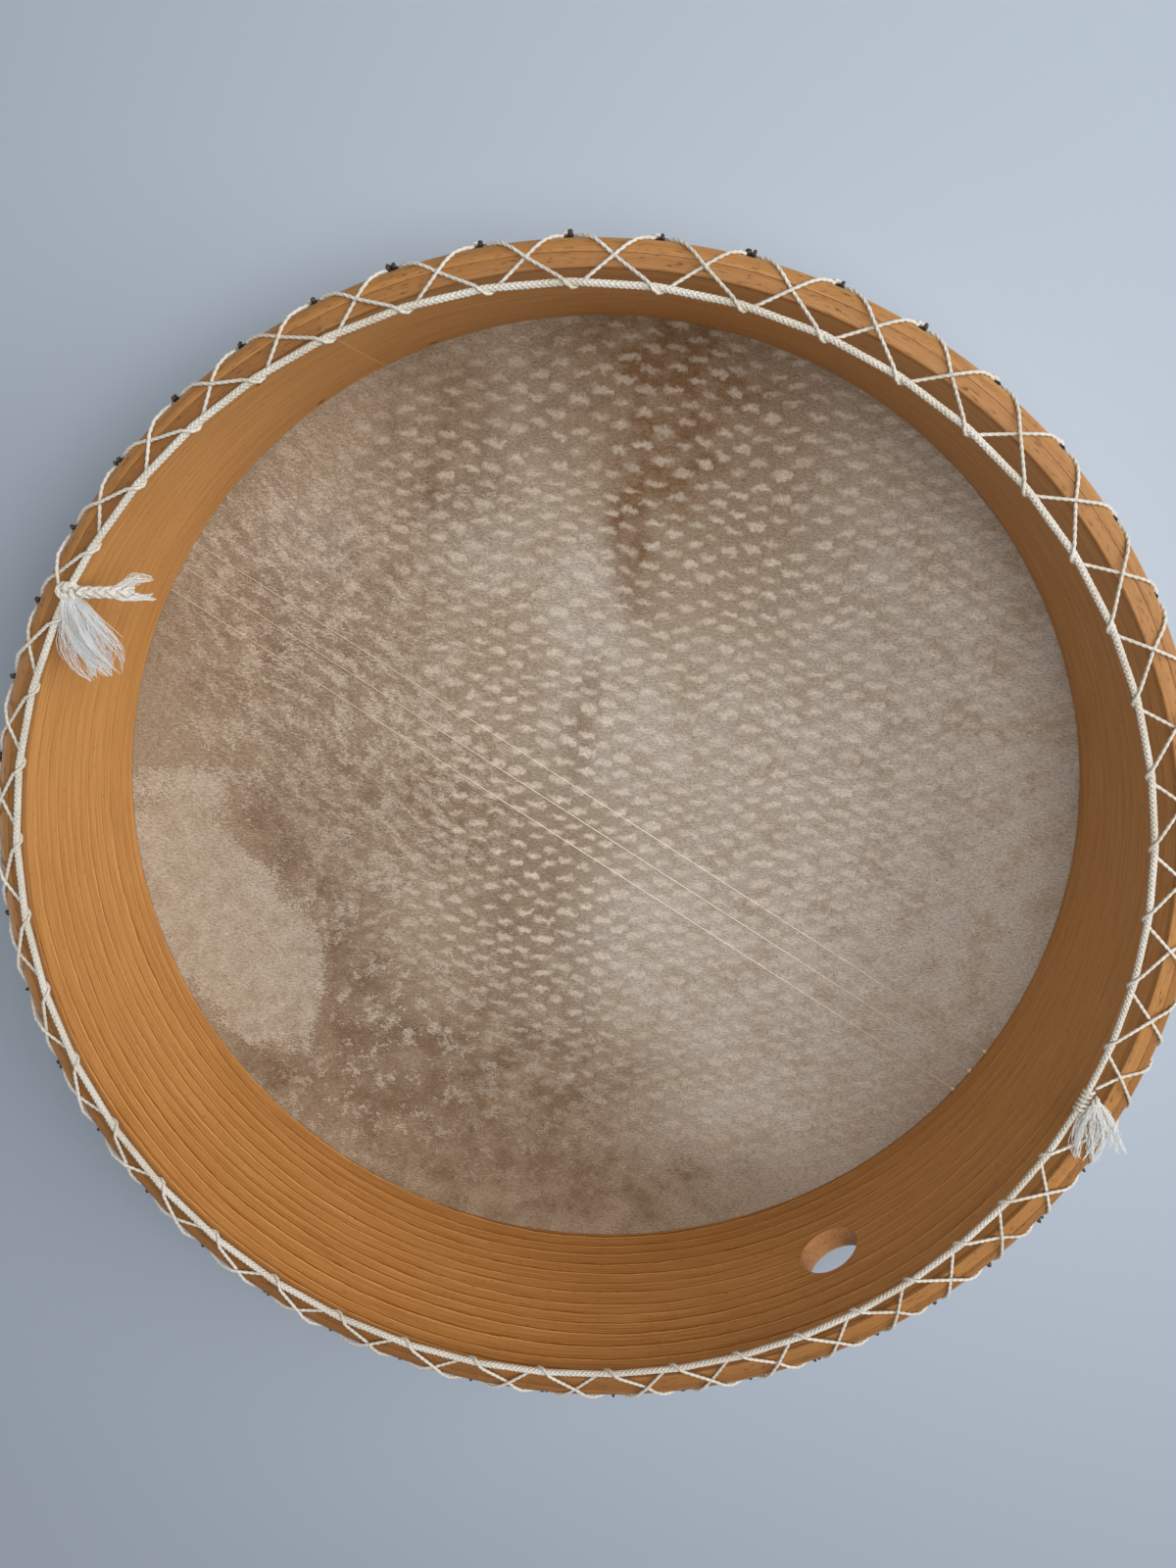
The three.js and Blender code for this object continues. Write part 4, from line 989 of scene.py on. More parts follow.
def frayed_end_tree():
    """Loose fibres along a path: wavy, in curling locks that swell, fan out and close at their tips."""
    lengths = ("Root", "Width", "Thickness", "Curl", "Fibre")
    counts = {"Count": "NodeSocketInt", "Locks": "NodeSocketInt"}
    tree, given = new_tree("Frayed end", {**{name: "NodeSocketFloat" for name in lengths}, **counts})
    steps, lock_share, loose_share, kink, flatness = 10, 0.05, 0.3, 0.5 * MM, 3.5
    # Angles that the fan's, the locks' and the fibres' waves run through from root to tip
    fan_run, lock_root, lock_run, bow_run, fibre_run = 2.8, 0.3, 2.6, 3.6, 7.0
    # Angles by which one lock's wave leads the next and one fibre's leads another
    lock_lead, fibre_lead = 2.4, 9.0
    curve = node(tree, "GeometryNodeMeshToCurve", {"Mesh": given["Geometry"]})
    even = node(tree, "GeometryNodeResampleCurve", {"Curve": curve, "Count": steps})
    many = {"Geometry": even, "Amount": given["Count"]}
    copies = node(tree, "GeometryNodeDuplicateElements", many, domain="SPLINE")
    number = copies.node.outputs[1]
    chance = [
        node(tree, "FunctionNodeRandomValue", {"ID": number, "Seed": seed, 2: low, 3: 1.0}, out=1)
        for seed, low in enumerate((-1.0, -1.0, -1.0, 0.55))
    ]
    # Two fibres in three keep to a lock, and the third lies anywhere in the fan
    kind = node(tree, "ShaderNodeMath", {0: number, 1: 3.0}, operation="MODULO")
    free = node(tree, "ShaderNodeMath", {0: kind, 1: 1.5}, operation="GREATER_THAN")
    lock = node(tree, "ShaderNodeMath", {0: number, 1: given["Locks"]}, operation="MODULO")
    last = node(tree, "ShaderNodeMath", {0: given["Locks"], 1: -1.0}, operation="ADD")
    fan = node(tree, "ShaderNodeMapRange", {"Value": lock, 1: 0.0, 2: last, 3: -0.5, 4: 0.5})
    along = node(tree, "GeometryNodeSplineParameter", out="Factor")
    spring = node(tree, "ShaderNodeMath", {0: along, 1: fan_run}, operation="MULTIPLY")
    bulge = node(tree, "ShaderNodeMath", {0: spring}, operation="SINE")
    opened = node(tree, "ShaderNodeMapRange", {"Value": bulge, 3: given["Root"], 4: given["Width"]})
    # A lock is thickest in its middle
    arch = node(tree, "ShaderNodeMath", {0: along, 1: lock_run, 2: lock_root}, operation="MULTIPLY_ADD")
    swell = node(tree, "ShaderNodeMath", {0: arch}, operation="SINE")
    room = node(tree, "ShaderNodeMapRange", {"Value": free, 3: lock_share, 4: loose_share})
    stray = node(tree, "ShaderNodeMath", {0: chance[0], 1: room}, operation="MULTIPLY")
    spread = node(tree, "ShaderNodeMath", {0: stray, 1: swell, 2: fan}, operation="MULTIPLY_ADD")
    aside = node(tree, "ShaderNodeMath", {0: spread, 1: opened}, operation="MULTIPLY")
    bow = node(tree, "ShaderNodeMath", {0: along, 1: bow_run}, operation="MULTIPLY")
    phase = node(tree, "ShaderNodeMath", {0: lock, 1: lock_lead, 2: bow}, operation="MULTIPLY_ADD")
    swing = node(tree, "ShaderNodeMath", {0: phase}, operation="SINE")
    grown = node(tree, "ShaderNodeMath", {0: along, 1: given["Curl"]}, operation="MULTIPLY")
    curled = node(tree, "ShaderNodeMath", {0: swing, 1: grown, 2: aside}, operation="MULTIPLY_ADD")
    # Each fibre has a wave of its own
    own = node(tree, "ShaderNodeMath", {0: chance[2], 1: fibre_lead, 2: phase}, operation="MULTIPLY_ADD")
    ripple = node(tree, "ShaderNodeMath", {0: along, 1: fibre_run, 2: own}, operation="MULTIPLY_ADD")
    wavy = node(tree, "ShaderNodeMath", {0: ripple}, operation="SINE")
    tuck = node(tree, "ShaderNodeMath", {0: wavy, 1: kink, 2: curled}, operation="MULTIPLY_ADD")
    high = node(tree, "ShaderNodeMath", {0: chance[1], 1: given["Thickness"]}, operation="MULTIPLY")
    above = node(tree, "ShaderNodeMath", {0: high, 1: swell}, operation="MULTIPLY")
    wave = node(tree, "ShaderNodeMath", {0: phase}, operation="COSINE")
    rise = node(tree, "ShaderNodeMath", {0: wave, 1: grown, 2: above}, operation="MULTIPLY_ADD")
    half = node(tree, "ShaderNodeMath", {0: rise, 1: 0.5}, operation="MULTIPLY")
    tangent = node(tree, "GeometryNodeInputTangent")
    side = node(tree, "ShaderNodeVectorMath", {0: UP, 1: tangent}, operation="CROSS_PRODUCT")
    across = node(tree, "ShaderNodeVectorMath", {0: side, "Scale": tuck}, operation="SCALE")
    lift = node(tree, "ShaderNodeCombineXYZ", {"Z": half})
    offset = node(tree, "ShaderNodeVectorMath", {0: across, 1: lift}, operation="ADD")
    spread_out = node(tree, "GeometryNodeSetPosition", {"Geometry": copies, "Offset": offset})
    trimmed = node(tree, "GeometryNodeTrimCurve", {"Curve": spread_out, "End": chance[3]})
    # A few fibres lie side by side in each flat strand
    lying = node(tree, "GeometryNodeSetCurveNormal", {"Curve": trimmed}, mode="Z_UP")
    wide = node(tree, "ShaderNodeMath", {0: given["Fibre"], 1: flatness}, operation="MULTIPLY")
    strand = {"Width": wide, "Height": given["Fibre"]}
    section = node(tree, "GeometryNodeCurvePrimitiveQuadrilateral", strand)
    sweep = {"Curve": lying, "Profile Curve": section, "Fill Caps": True}
    return close_tree(tree, node(tree, "GeometryNodeCurveToMesh", sweep), given["Material"])


def punched_tree():
    """Round holes punched through a skin at the points of another object, each facing its own way."""
    tree, given = new_tree("Punched holes", {"Places": "NodeSocketObject"})
    places = node(tree, "GeometryNodeObjectInfo", {"Object": given["Places"]}, out="Geometry")
    barrel = {"Vertices": 20, "Radius": 0.5, "Depth": 1.0}
    punch = node(tree, "GeometryNodeMeshCylinder", barrel, fill_type="TRIANGLE_FAN")
    facing = node(tree, "GeometryNodeInputNamedAttribute", {"Name": "facing"}, data_type="FLOAT_VECTOR")
    size = node(tree, "GeometryNodeInputNamedAttribute", {"Name": "size"}, data_type="FLOAT_VECTOR")
    row = {"Points": places, "Instance": punch, "Rotation": facing, "Scale": size}
    placed = node(tree, "GeometryNodeInstanceOnPoints", row)
    punches = node(tree, "GeometryNodeRealizeInstances", {0: placed})
    both = {"Mesh 1": given["Geometry"], "Mesh 2": punches}
    cut = node(tree, "GeometryNodeMeshBoolean", both, operation="DIFFERENCE")
    return close_tree(tree, cut, given["Material"])


def dried_nub_tree():
    """Lumps of dried hide, one at each point, each of its own size, turn and lumpiness."""
    tree, given = new_tree("Dried nubs", {"Size": "NodeSocketFloat", "Lump": "NodeSocketFloat"})
    ball = node(tree, "GeometryNodeMeshIcoSphere", {"Radius": 0.5, "Subdivisions": 3})
    facing = node(tree, "GeometryNodeInputNamedAttribute", {"Name": "facing"}, data_type="FLOAT_VECTOR")
    least, most, lump_size = (0.55, 0.4, 0.55), (1.1, 0.75, 1.0), 1.1 * MM
    lengths = {0: least, 1: most, "Seed": 9}
    shape = node(tree, "FunctionNodeRandomValue", lengths, data_type="FLOAT_VECTOR")
    size = node(tree, "ShaderNodeVectorMath", {0: shape, "Scale": given["Size"]}, operation="SCALE")
    row = {"Points": given["Geometry"], "Instance": ball, "Rotation": facing, "Scale": size}
    placed = node(tree, "GeometryNodeInstanceOnPoints", row)
    nubs = node(tree, "GeometryNodeRealizeInstances", {0: placed})
    fine = node(tree, "ShaderNodeTexNoise", {"Scale": 1 / lump_size, "Detail": 2.0}, out="Color")
    shift = node(tree, "ShaderNodeVectorMath", {0: fine, 1: (0.5, 0.5, 0.5)}, operation="SUBTRACT")
    lump = node(tree, "ShaderNodeVectorMath", {0: shift, "Scale": given["Lump"]}, operation="SCALE")
    lumpy = node(tree, "GeometryNodeSetPosition", {"Geometry": nubs, "Offset": lump})
    return close_tree(tree, lumpy, given["Material"])


def new_object(name, points, edges=(), faces=()):
    """A mesh object in the scene."""
    mesh = bpy.data.meshes.new(name)
    mesh.from_pydata(points, edges, faces)
    mesh.update()
    made = bpy.data.objects.new(name, mesh)
    bpy.context.scene.collection.objects.link(made)
    return made


def row_of(name, points, closed=False):
    """Points joined in a row by edges, to carry a node tree."""
    edges = [(i, i + 1) for i in range(len(points) - 1)]
    return new_object(name, points, edges + [(len(points) - 1, 0)] * closed)


def give_vectors(carrier, name, values):
    """Stores one vector on each of the carrier's points, for a node tree to read."""
    layer = carrier.data.attributes.new(name, "FLOAT_VECTOR", "POINT")
    layer.data.foreach_set("vector", [x for value in values for x in value])


def shaped(carrier, tree, name, values):
    """The carrier's shape once the tree has worked on it with these inputs, as a plain mesh object."""
    modifier = carrier.modifiers.new("Shape", "NODES")
    modifier.node_group = tree
    for item in tree.interface.items_tree:
        if item.in_out == "INPUT" and item.name in values:
            modifier[item.identifier] = values[item.name]
    return settled(carrier, name)


def settled(carrier, name):
    """The carrier with its modifiers worked in, as a plain mesh object of this name."""
    graph = bpy.context.evaluated_depsgraph_get()
    mesh = bpy.data.meshes.new_from_object(carrier.evaluated_get(graph), depsgraph=graph)
    bpy.data.objects.remove(carrier)
    mesh.name = name
    made = bpy.data.objects.new(name, mesh)
    bpy.context.scene.collection.objects.link(made)
    return made


def hand_over(piece, slot, *nodes):
    """Puts a finished piece on the frame, in place of these nodes."""
    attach(piece, BODY)
    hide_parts(*nodes)


def arc_points(radius, z, size, start, steps):
    """A quarter circle of a profile, both ends included."""
    turns = [start + TURN / 4 * i / steps for i in range(steps + 1)]
    return [(radius + size * math.cos(t), z + size * math.sin(t)) for t in turns]


def revolved(name, profile, segments):
    """A closed profile of radius and height turned about the drum's axis."""
    rows = len(profile)
    points = [polar(r, TURN * s / segments, z) for s in range(segments) for r, z in profile]
    faces = []
    for s in range(segments):
        here, there = s * rows, (s + 1) % segments * rows
        for i in range(rows):
            j = (i + 1) % rows
            faces.append((here + i, there + i, there + j, here + j))
    return new_object(name, points, (), faces)


def cut_from(carrier, cutters, name):
    """The carrier with each cutter taken out of it, as a plain mesh object with crisp edges."""
    for cutter in cutters:
        modifier = carrier.modifiers.new("Cut", "BOOLEAN")
        modifier.object = cutter
        modifier.solver = "EXACT"
    piece = settled(carrier, name)
    for cutter in cutters:
        bpy.data.objects.remove(cutter)
    piece.data.polygons.foreach_set("use_smooth", [True] * len(piece.data.polygons))
    piece.data.set_sharp_from_angle(angle=CRISP_WOOD)
    return piece


def thumb_cutter(settings):
    """A bore that opens a little at both faces of the hoop, where thumbs have rounded it."""
    half, eased, segments = settings.thumb_hole / 2, 0.3 * MM, 72
    stations = [
        (HOOP_INNER - 6 * MM, half + 3 * eased),
        (HOOP_INNER - 0.4 * MM, half + eased),
        (HOOP_INNER + 0.3 * MM, half + 0.25 * eased),
        (HOOP_INNER + 0.8 * MM, half),
        (HOOP_OUTER - 0.8 * MM, half),
        (HOOP_OUTER + 0.2 * MM, half + eased),
        (HOOP_OUTER + 6 * MM, half + 3 * eased),
    ]
    points, faces = [], []
    for out, radius in stations:
        for s in range(segments):
            turn = TURN * s / segments
            points.append((radius * math.cos(turn), -out, settings.thumb_height + radius * math.sin(turn)))
    for i in range(len(stations) - 1):
        for s in range(segments):
            a, b = i * segments + s, i * segments + (s + 1) % segments
            faces.append((a, b, b + segments, a + segments))
    faces.append(tuple(reversed(range(segments))))
    faces.append(tuple(range(len(points) - segments, len(points))))
    return new_object("thumb_cutter", points, (), faces)


def scarf_cutter(inner, outer, angle):
    """A thin slanting blade where the two ends of a ply overlap."""
    start, end = polar(inner, angle, 0), polar(outer, angle + SCARF_LENGTH / outer, 0)
    run = end - start
    along = run.normalized() * (run.length / 2 + PLY_THICKNESS)
    across = run.cross(UP).normalized() * SCARF_SLIT / 2
    middle, tall = (start + end) / 2 + UP * (HOOP_BASE + HOOP_BACK) / 2, UP * HOOP_BACK
    corners = [middle + along * x + across * y + tall * z for z in (-1, 1) for y in (-1, 1) for x in (-1, 1)]
    faces = ((0, 2, 3, 1), (4, 5, 7, 6), (0, 1, 5, 4), (2, 6, 7, 3), (0, 4, 6, 2), (1, 3, 7, 5))
    return new_object("scarf_cutter", corners, (), faces)


class BENDIR_OT_hoop(bpy.types.Operator):
    """Builds the two plies of the hoop"""

    bl_idname = "bendir.hoop"
    bl_label = "Hoop"

    def execute(self, context):
        settings = context.scene.bendir_hoop
        segments, steps, crisp = 480, 8, 0.1 * MM
        worn, shoulder, bearing = settings.worn_edge, settings.shoulder, settings.bearing
        inner_face, outer_face = SEAM - GLUE_LINE / 2, SEAM + GLUE_LINE / 2
        inner_profile = [
            (HOOP_INNER, HOOP_BASE),
            (inner_face, HOOP_BASE),
            *arc_points(inner_face - crisp, HOOP_BACK - crisp, crisp, 0, 2),
            *arc_points(HOOP_INNER + worn, HOOP_BACK - worn, worn, TURN / 4, steps),
        ]
        outer_profile = [
            (outer_face, HOOP_BASE),
            *arc_points(HOOP_OUTER - bearing, HOOP_BASE + bearing, bearing, -TURN / 4, steps),
            *arc_points(HOOP_OUTER - shoulder, HOOP_BACK - shoulder, shoulder, 0, 2 * steps),
            *arc_points(outer_face + crisp, HOOP_BACK - crisp, crisp, TURN / 4, 2),
        ]
        plies = (
            ("inner_ply", inner_profile, HOOP_INNER, inner_face, INNER_SCARF_ANGLE),
            ("outer_ply", outer_profile, outer_face, HOOP_OUTER, OUTER_SCARF_ANGLE),
        )
        for name, profile, inside, outside, angle in plies:
            ring = revolved(name + "_ring", profile, segments)
            cutters = [thumb_cutter(settings), scarf_cutter(inside, outside, angle)]
            piece = cut_from(ring, cutters, name)
            piece.data.materials.clear()
            piece.data.materials.append(bent_beech(f"bent beech {name}", settings, angle))
            hand_over(piece, "beech", "hoop_" + name)
        return {"FINISHED"}


def tab_peak(angle):
    """1 at the middle of the nearest tab and 0 half way to the next."""
    angles = [lace_angle(k) for k in range(-1, LACE_HOLES + 1)]
    turned = angles[0] + (angle - angles[0]) % TURN
    below = max(a for a in angles if a <= turned + 1e-9)
    above = min((a for a in angles if a > turned + 1e-9), default=angles[1] + TURN)
    share = (turned - below) / (above - below)
    return abs(2 * share - 1)


def collar_edge(peak):
    """Height of the collar's edge: low between the tabs, high at a tab's tip."""
    return HOOP_BACK - VALLEY_DROP + (VALLEY_DROP - TAB_DROP) * peak**4


def tab_lean(z):
    """How far a tab stands off the hoop: over the lace at its hole, and drawn back in at its tip."""
    if z > LACE_HOLE_Z:
        return TAB_FLARE + (TIP_FLARE - TAB_FLARE) * min(1, (z - LACE_HOLE_Z) / (TAB_Z - LACE_HOLE_Z)) ** 2
    return TAB_FLARE * max(0, (z - FLARE_Z) / (LACE_HOLE_Z - FLARE_Z)) ** 1.6


def skin_rings(angle, thickness):
    """Profile of the skin at an angle, from the middle of the playing face round the edge to the inside."""
    face_rings, bend_steps, wall_steps, head_rings = 8, 6, 12, 52
    peak = tab_peak(angle)
    waviness, depth = 60, 0.9 * MM
    ragged = noise.noise(polar(waviness, angle, 0)) * depth
    edge = collar_edge(peak) + ragged * (1 - peak)
    bend = BEARING + SOLID_GAP
    middle = (SKIN_INNER - bend, HOOP_BASE + BEARING)
    wall = [1 - (1 - i / wall_steps) ** 2 for i in range(1, wall_steps + 1)]

    def collar(offset):
        heights = [middle[1] + (edge - middle[1]) * s for s in wall]
        return [(SKIN_INNER + offset + tab_lean(z) * peak**2, z) for z in heights]

    face = [(middle[0] * math.sqrt(i / face_rings), 0) for i in range(1, face_rings)]
    outer_bend = arc_points(*middle, bend + thickness, -TURN / 4, bend_steps)
    inner_bend = arc_points(*middle, bend, -TURN / 4, bend_steps)
    head = [(middle[0] * i / head_rings, thickness) for i in range(head_rings - 1, 0, -1)]
    return face + outer_bend + collar(thickness) + collar(0)[::-1] + inner_bend[::-1] + head


def dryness(point):
    """How black and dry the hide is: at the tip of each tab, and in a thin line along the whole edge."""
    dry_band, along_edge, at_tip = 3 * MM, 0.25, 0.9
    if point.z < FLARE_Z:
        return 0.0
    peak = tab_peak(math.atan2(point.y, point.x))
    close = max(0.0, 1 - abs(collar_edge(peak) - point.z) / dry_band)
    return min(1.0, close * (along_edge + at_tip * peak**4))


def laid_flat(point):
    """Where a point of the skin lay on the flat hide, with the collar folded out round the head."""
    return polar(math.hypot(point.x, point.y) + point.z, math.atan2(point.y, point.x) + PICTURE_TURN, 0)


def skin_shell(thickness):
    """The whole skin as one closed shell, before its holes are punched."""
    tab_steps = 12
    angles = []
    for k in range(LACE_HOLES):
        first, last = lace_angle(k), lace_angle(k + 1)
        angles += [first + (last - first) * i / tab_steps for i in range(tab_steps)]
    rings = [[polar(r, a, z) for r, z in skin_rings(a, thickness)] for a in angles]
    rows, columns = len(rings[0]), len(rings)
    points = [p for ring in rings for p in ring] + [Vector((0, 0, 0)), Vector((0, 0, thickness))]
    faces = []
    for c in range(columns):
        here, there = c * rows, (c + 1) % columns * rows
        faces += [(here + i, there + i, there + i + 1, here + i + 1) for i in range(rows - 1)]
        faces += [(len(points) - 2, there, here), (len(points) - 1, here + rows - 1, there + rows - 1)]
    return new_object("skin_shell", points, (), faces)


def give_tones(skin):
    """Stores on the skin's points where each lay on the flat hide, and its tones there. The punched skin
    gets them, because punching adds points that have none."""
    points = [vertex.co for vertex in skin.data.vertices]
    laid = [laid_flat(p) for p in points]
    give_vectors(skin, "laid_flat", laid)
    tones = {
        name: [hide_tone(patches, p.x / MM, p.y / MM) for p in laid] for name, patches in HIDE_TONES.items()
    }
    tones["dried"] = [dryness(p) for p in points]
    for name, values in tones.items():
        layer = skin.data.attributes.new(name, "FLOAT", "POINT")
        layer.data.foreach_set("value", values)


def hole_places(settings, thumb_height):
    """Points at the lacing holes and the thumb hole, with the way each faces and its size."""
    lace_depth, thumb_depth = 6 * MM, 8 * MM
    angles = [lace_angle(k) for k in range(LACE_HOLES)]
    points = [polar(SKIN_INNER + TAB_FLARE, a, LACE_HOLE_Z) for a in angles]
    sizes = [(settings.hole, settings.hole, lace_depth)] * LACE_HOLES
    points.append(polar(SKIN_INNER, THUMB_ANGLE, thumb_height))
    sizes.append((settings.thumb_cut, settings.thumb_cut, thumb_depth))
    places = new_object("hole_places", points)
    give_vectors(places, "facing", [(0, TURN / 4, a) for a in (*angles, THUMB_ANGLE)])
    give_vectors(places, "size", sizes)
    return places


def nub_places():
    """Points at the tips of the tabs, some with a second nub beside the first, each facing its own way."""
    tips = [(k, 0) for k in range(LACE_HOLES)] + [(k, PAIR_GAP) for k in range(1, LACE_HOLES, PAIR_EVERY)]
    angles = [lace_angle(k) + aside / HOOP_OUTER for k, aside in tips]
    angles = [a for a in angles if NUBS_FROM < (a + PICTURE_TURN) % TURN < NUBS_TO]
    out, rise, waviness, lean = SKIN_INNER + TIP_FLARE + SKIN_THICKNESS, 0.4 * MM, 40, 0.4
    places = new_object("nub_places", [polar(out, a, TAB_Z + rise) for a in angles])
    tilts = [noise.noise(polar(waviness, a, 0)) for a in angles]
    give_vectors(places, "facing", [(tilt, tilt - lean, a + tilt) for a, tilt in zip(angles, tilts)])
    return places


class BENDIR_OT_skin(bpy.types.Operator):
    """Builds the skin with its punched holes, and the dried nubs at its tabs"""

    bl_idname = "bendir.skin"
    bl_label = "Skin"

    def execute(self, context):
        settings = context.scene.bendir_skin
        places = hole_places(settings, context.scene.bendir_hoop.thumb_height)
        values = {"Places": places, "Material": goat_hide(settings)}
        skin = shaped(skin_shell(settings.thickness), punched_tree(), "goat_skin", values)
        give_tones(skin)
        # Cut edges stay crisp, so that the collar beside a hole isn't shaded as if it were bent
        skin.data.set_sharp_from_angle(angle=CRISP_SKIN)
        bpy.data.objects.remove(places)
        hand_over(skin, "goatskin", "drum_skin")

        values = {"Size": settings.nub, "Lump": 0.9 * MM, "Material": dried_hide(settings)}
        nubs = shaped(nub_places(), dried_nub_tree(), "dried_tabs", values)
        hand_over(nubs, "goatskin")
        return {"FINISHED"}


class BENDIR_OT_ring_cord(bpy.types.Operator):
    """Builds the braided ring cord with its knot and its two ends"""

    bl_idname = "bendir.ring_cord"
    bl_label = "Ring cord"

    def execute(self, context):
        settings = context.scene.bendir_cords
        cotton = spun_cotton("braided cotton", settings.cotton, settings.soiled)
        loose = spun_cotton("loose cotton fibre", settings.fibre, settings.cotton)
        braid, frayed = braided_cord_tree(), frayed_end_tree()
        strand, tucked = 2.1 * MM, 0.8 * MM
        values = {"Pitch": settings.braid_pitch, "Corner": 12 * MM, "Step": 0.44 * MM, "Material": cotton}
        carrier = row_of("ring_row", ring_path(strand))
        ring = shaped(carrier, braid, "ring_cord_braid", {**values, "Diameter": settings.ring})
        hand_over(ring, "cotton_cord", "ring_cord")

        middle = beside_ring(RING_KNOT_ANGLE, 0, 0)
        place = Matrix.Translation(middle) @ Matrix.Rotation(RING_KNOT_ANGLE, 4, "Z")
        carrier = row_of("knot_row", knot_path(strand, place), closed=True)
        tight = {**values, "Diameter": strand, "Corner": 1 * MM, "Step": 0.3 * MM}
        knot = shaped(carrier, braid, "ring_knot", tight)
        hand_over(knot, "cotton_cord", "ring_cord_knot")

        away, reach = RING_KNOT_ANGLE + BRAIDED_END_TURN, knot_reach(strand) - tucked
        path = loose_end(middle, away, reach, length=22 * MM, droop=6 * MM)
        plait = {**values, "Diameter": settings.plait, "Pitch": 3 * settings.plait}
        tail = shaped(row_of("tail_row", path[:10]), braid, "braided_tail", plait)
        hand_over(tail, "cotton_cord", "ring_cord_braided_tail")
        brush = {
            "Root": 3 * MM,
            "Width": 7 * MM,
            "Thickness": 3 * MM,
            "Curl": 2.4 * MM,
            "Fibre": 0.04 * MM,
            "Count": settings.fibres // 3,
            "Locks": 3,
            "Material": loose,
        }
        tip = shaped(row_of("tip_row", path[6:]), frayed, "braided_tail_tip", brush)
        hand_over(tip, "cotton_cord")

        away = RING_KNOT_ANGLE + FRAYED_END_TURN
        path = loose_end(middle, away, reach=1 * MM, length=28 * MM, droop=7 * MM)
        fan = {**brush, "Root": 4 * MM, "Width": 12 * MM, "Thickness": 7 * MM, "Curl": 4.4 * MM, "Locks": 11}
        fringe = shaped(row_of("fan_row", path), frayed, "frayed_tail", {**fan, "Count": settings.fibres})
        hand_over(fringe, "cotton_cord", "ring_cord_frayed_tail")
        return {"FINISHED"}


class BENDIR_OT_lacing(bpy.types.Operator):
    """Builds the twisted lace with its knot and its two frayed ends"""

    bl_idname = "bendir.lacing"
    bl_label = "Lacing"

    def execute(self, context):
        settings = context.scene.bendir_cords
        cotton = spun_cotton("twisted cotton", settings.cotton, settings.soiled)
        loose = spun_cotton("loose lace fibre", settings.fibre, settings.cotton)
        twisted, frayed = twisted_cord_tree(), frayed_end_tree()
        values = {
            "Diameter": 0.92 * settings.lace,
            "Pitch": settings.twist_pitch,
            "Corner": 1.2 * MM,
            "Step": 0.56 * MM,
            "Plies": 2.0,
            "Lobe": 0.16,
            "Material": cotton,
        }
        lace = shaped(row_of("lace_row", lace_path()), twisted, "lacing_lace", values)
        hand_over(lace, "cotton_lace", "lacing_cord")

        strand, tucked, lean = 1.0 * MM, 1.4 * MM, math.radians(35)
        angle = lace_angle(0) + 3 * MM / HOOP_INNER
        middle = beside_ring(angle, lean, WRAP_RADIUS + LACE_DIAMETER / 2 + strand)
        flat = Matrix.Rotation(angle, 4, "Z") @ Matrix.Rotation(TURN / 4 - lean, 4, "Y")
        carrier = row_of("lace_knot_row", knot_path(strand, Matrix.Translation(middle) @ flat), closed=True)
        knot = shaped(carrier, twisted, "lace_knot", {**values, "Step": 0.3 * MM, "Corner": 0.6 * MM})
        hand_over(knot, "cotton_lace", "lacing_knot")

        tuft = {"Root": 1.5 * MM, "Curl": 1.8 * MM, "Fibre": 0.04 * MM, "Material": loose}
        wide = {"Width": 10 * MM, "Thickness": 3 * MM, "Count": settings.fibres // 2, "Locks": 5}
        slim = {"Width": 4 * MM, "Thickness": 1.6 * MM, "Count": settings.fibres // 4, "Locks": 2}
        for number, (turn, form) in enumerate(((-70, wide), (-36, slim)), 1):
            away = angle + math.radians(turn)
            path = loose_end(middle, away, knot_reach(strand) - tucked, length=22 * MM, droop=0.5 * MM)
            end = shaped(row_of("tuft_row", path), frayed, f"lace_tuft_{number}", {**tuft, **form})
            hand_over(end, "cotton_lace", f"lacing_tuft_{number}")
        return {"FINISHED"}


class BENDIR_OT_snares(bpy.types.Operator):
    """Builds the three snares, each with a small knot at the wall"""

    bl_idname = "bendir.snares"
    bl_label = "Snares"

    def execute(self, context):
        settings = context.scene.bendir_snares
        tree, small = twisted_cord_tree(), settings.knot / 4
        values = {
            "Pitch": 1.0,
            "Corner": 1 * MM,
            "Step": 2 * MM,
            "Plies": 0.0,
            "Lobe": 0.0,
            "Diameter": settings.line,
            "Material": drawn_nylon(settings),
        }
        tight = {**values, "Diameter": 1.6 * small, "Step": 0.15 * MM, "Corner": 0.2 * MM}
        turn = Matrix.Rotation(SNARE_ANGLE, 3, "Z")
        height = SKIN_THICKNESS + CLEARANCE + settings.line / 2
        for number, offset in enumerate(SNARE_OFFSETS, 1):
            reach = math.sqrt((HOOP_INNER - 0.2 * MM) ** 2 - offset**2)
            path = [turn @ Vector((reach * x, offset, height)) for x in (-1, -0.5, 0, 0.5, 1)]
            line = shaped(row_of("snare_row", path), tree, f"snare_line_{number}", values)
            hand_over(line, "snare_line", f"snare_{number}")
            end = turn @ Vector((reach - 2 * small, offset, SKIN_THICKNESS + 2 * small))
            bead = row_of("bead_row", knot_path(small, Matrix.Translation(end), steps=48), closed=True)
            hand_over(shaped(bead, tree, f"snare_knot_{number}", tight), "snare_line")
        return {"FINISHED"}


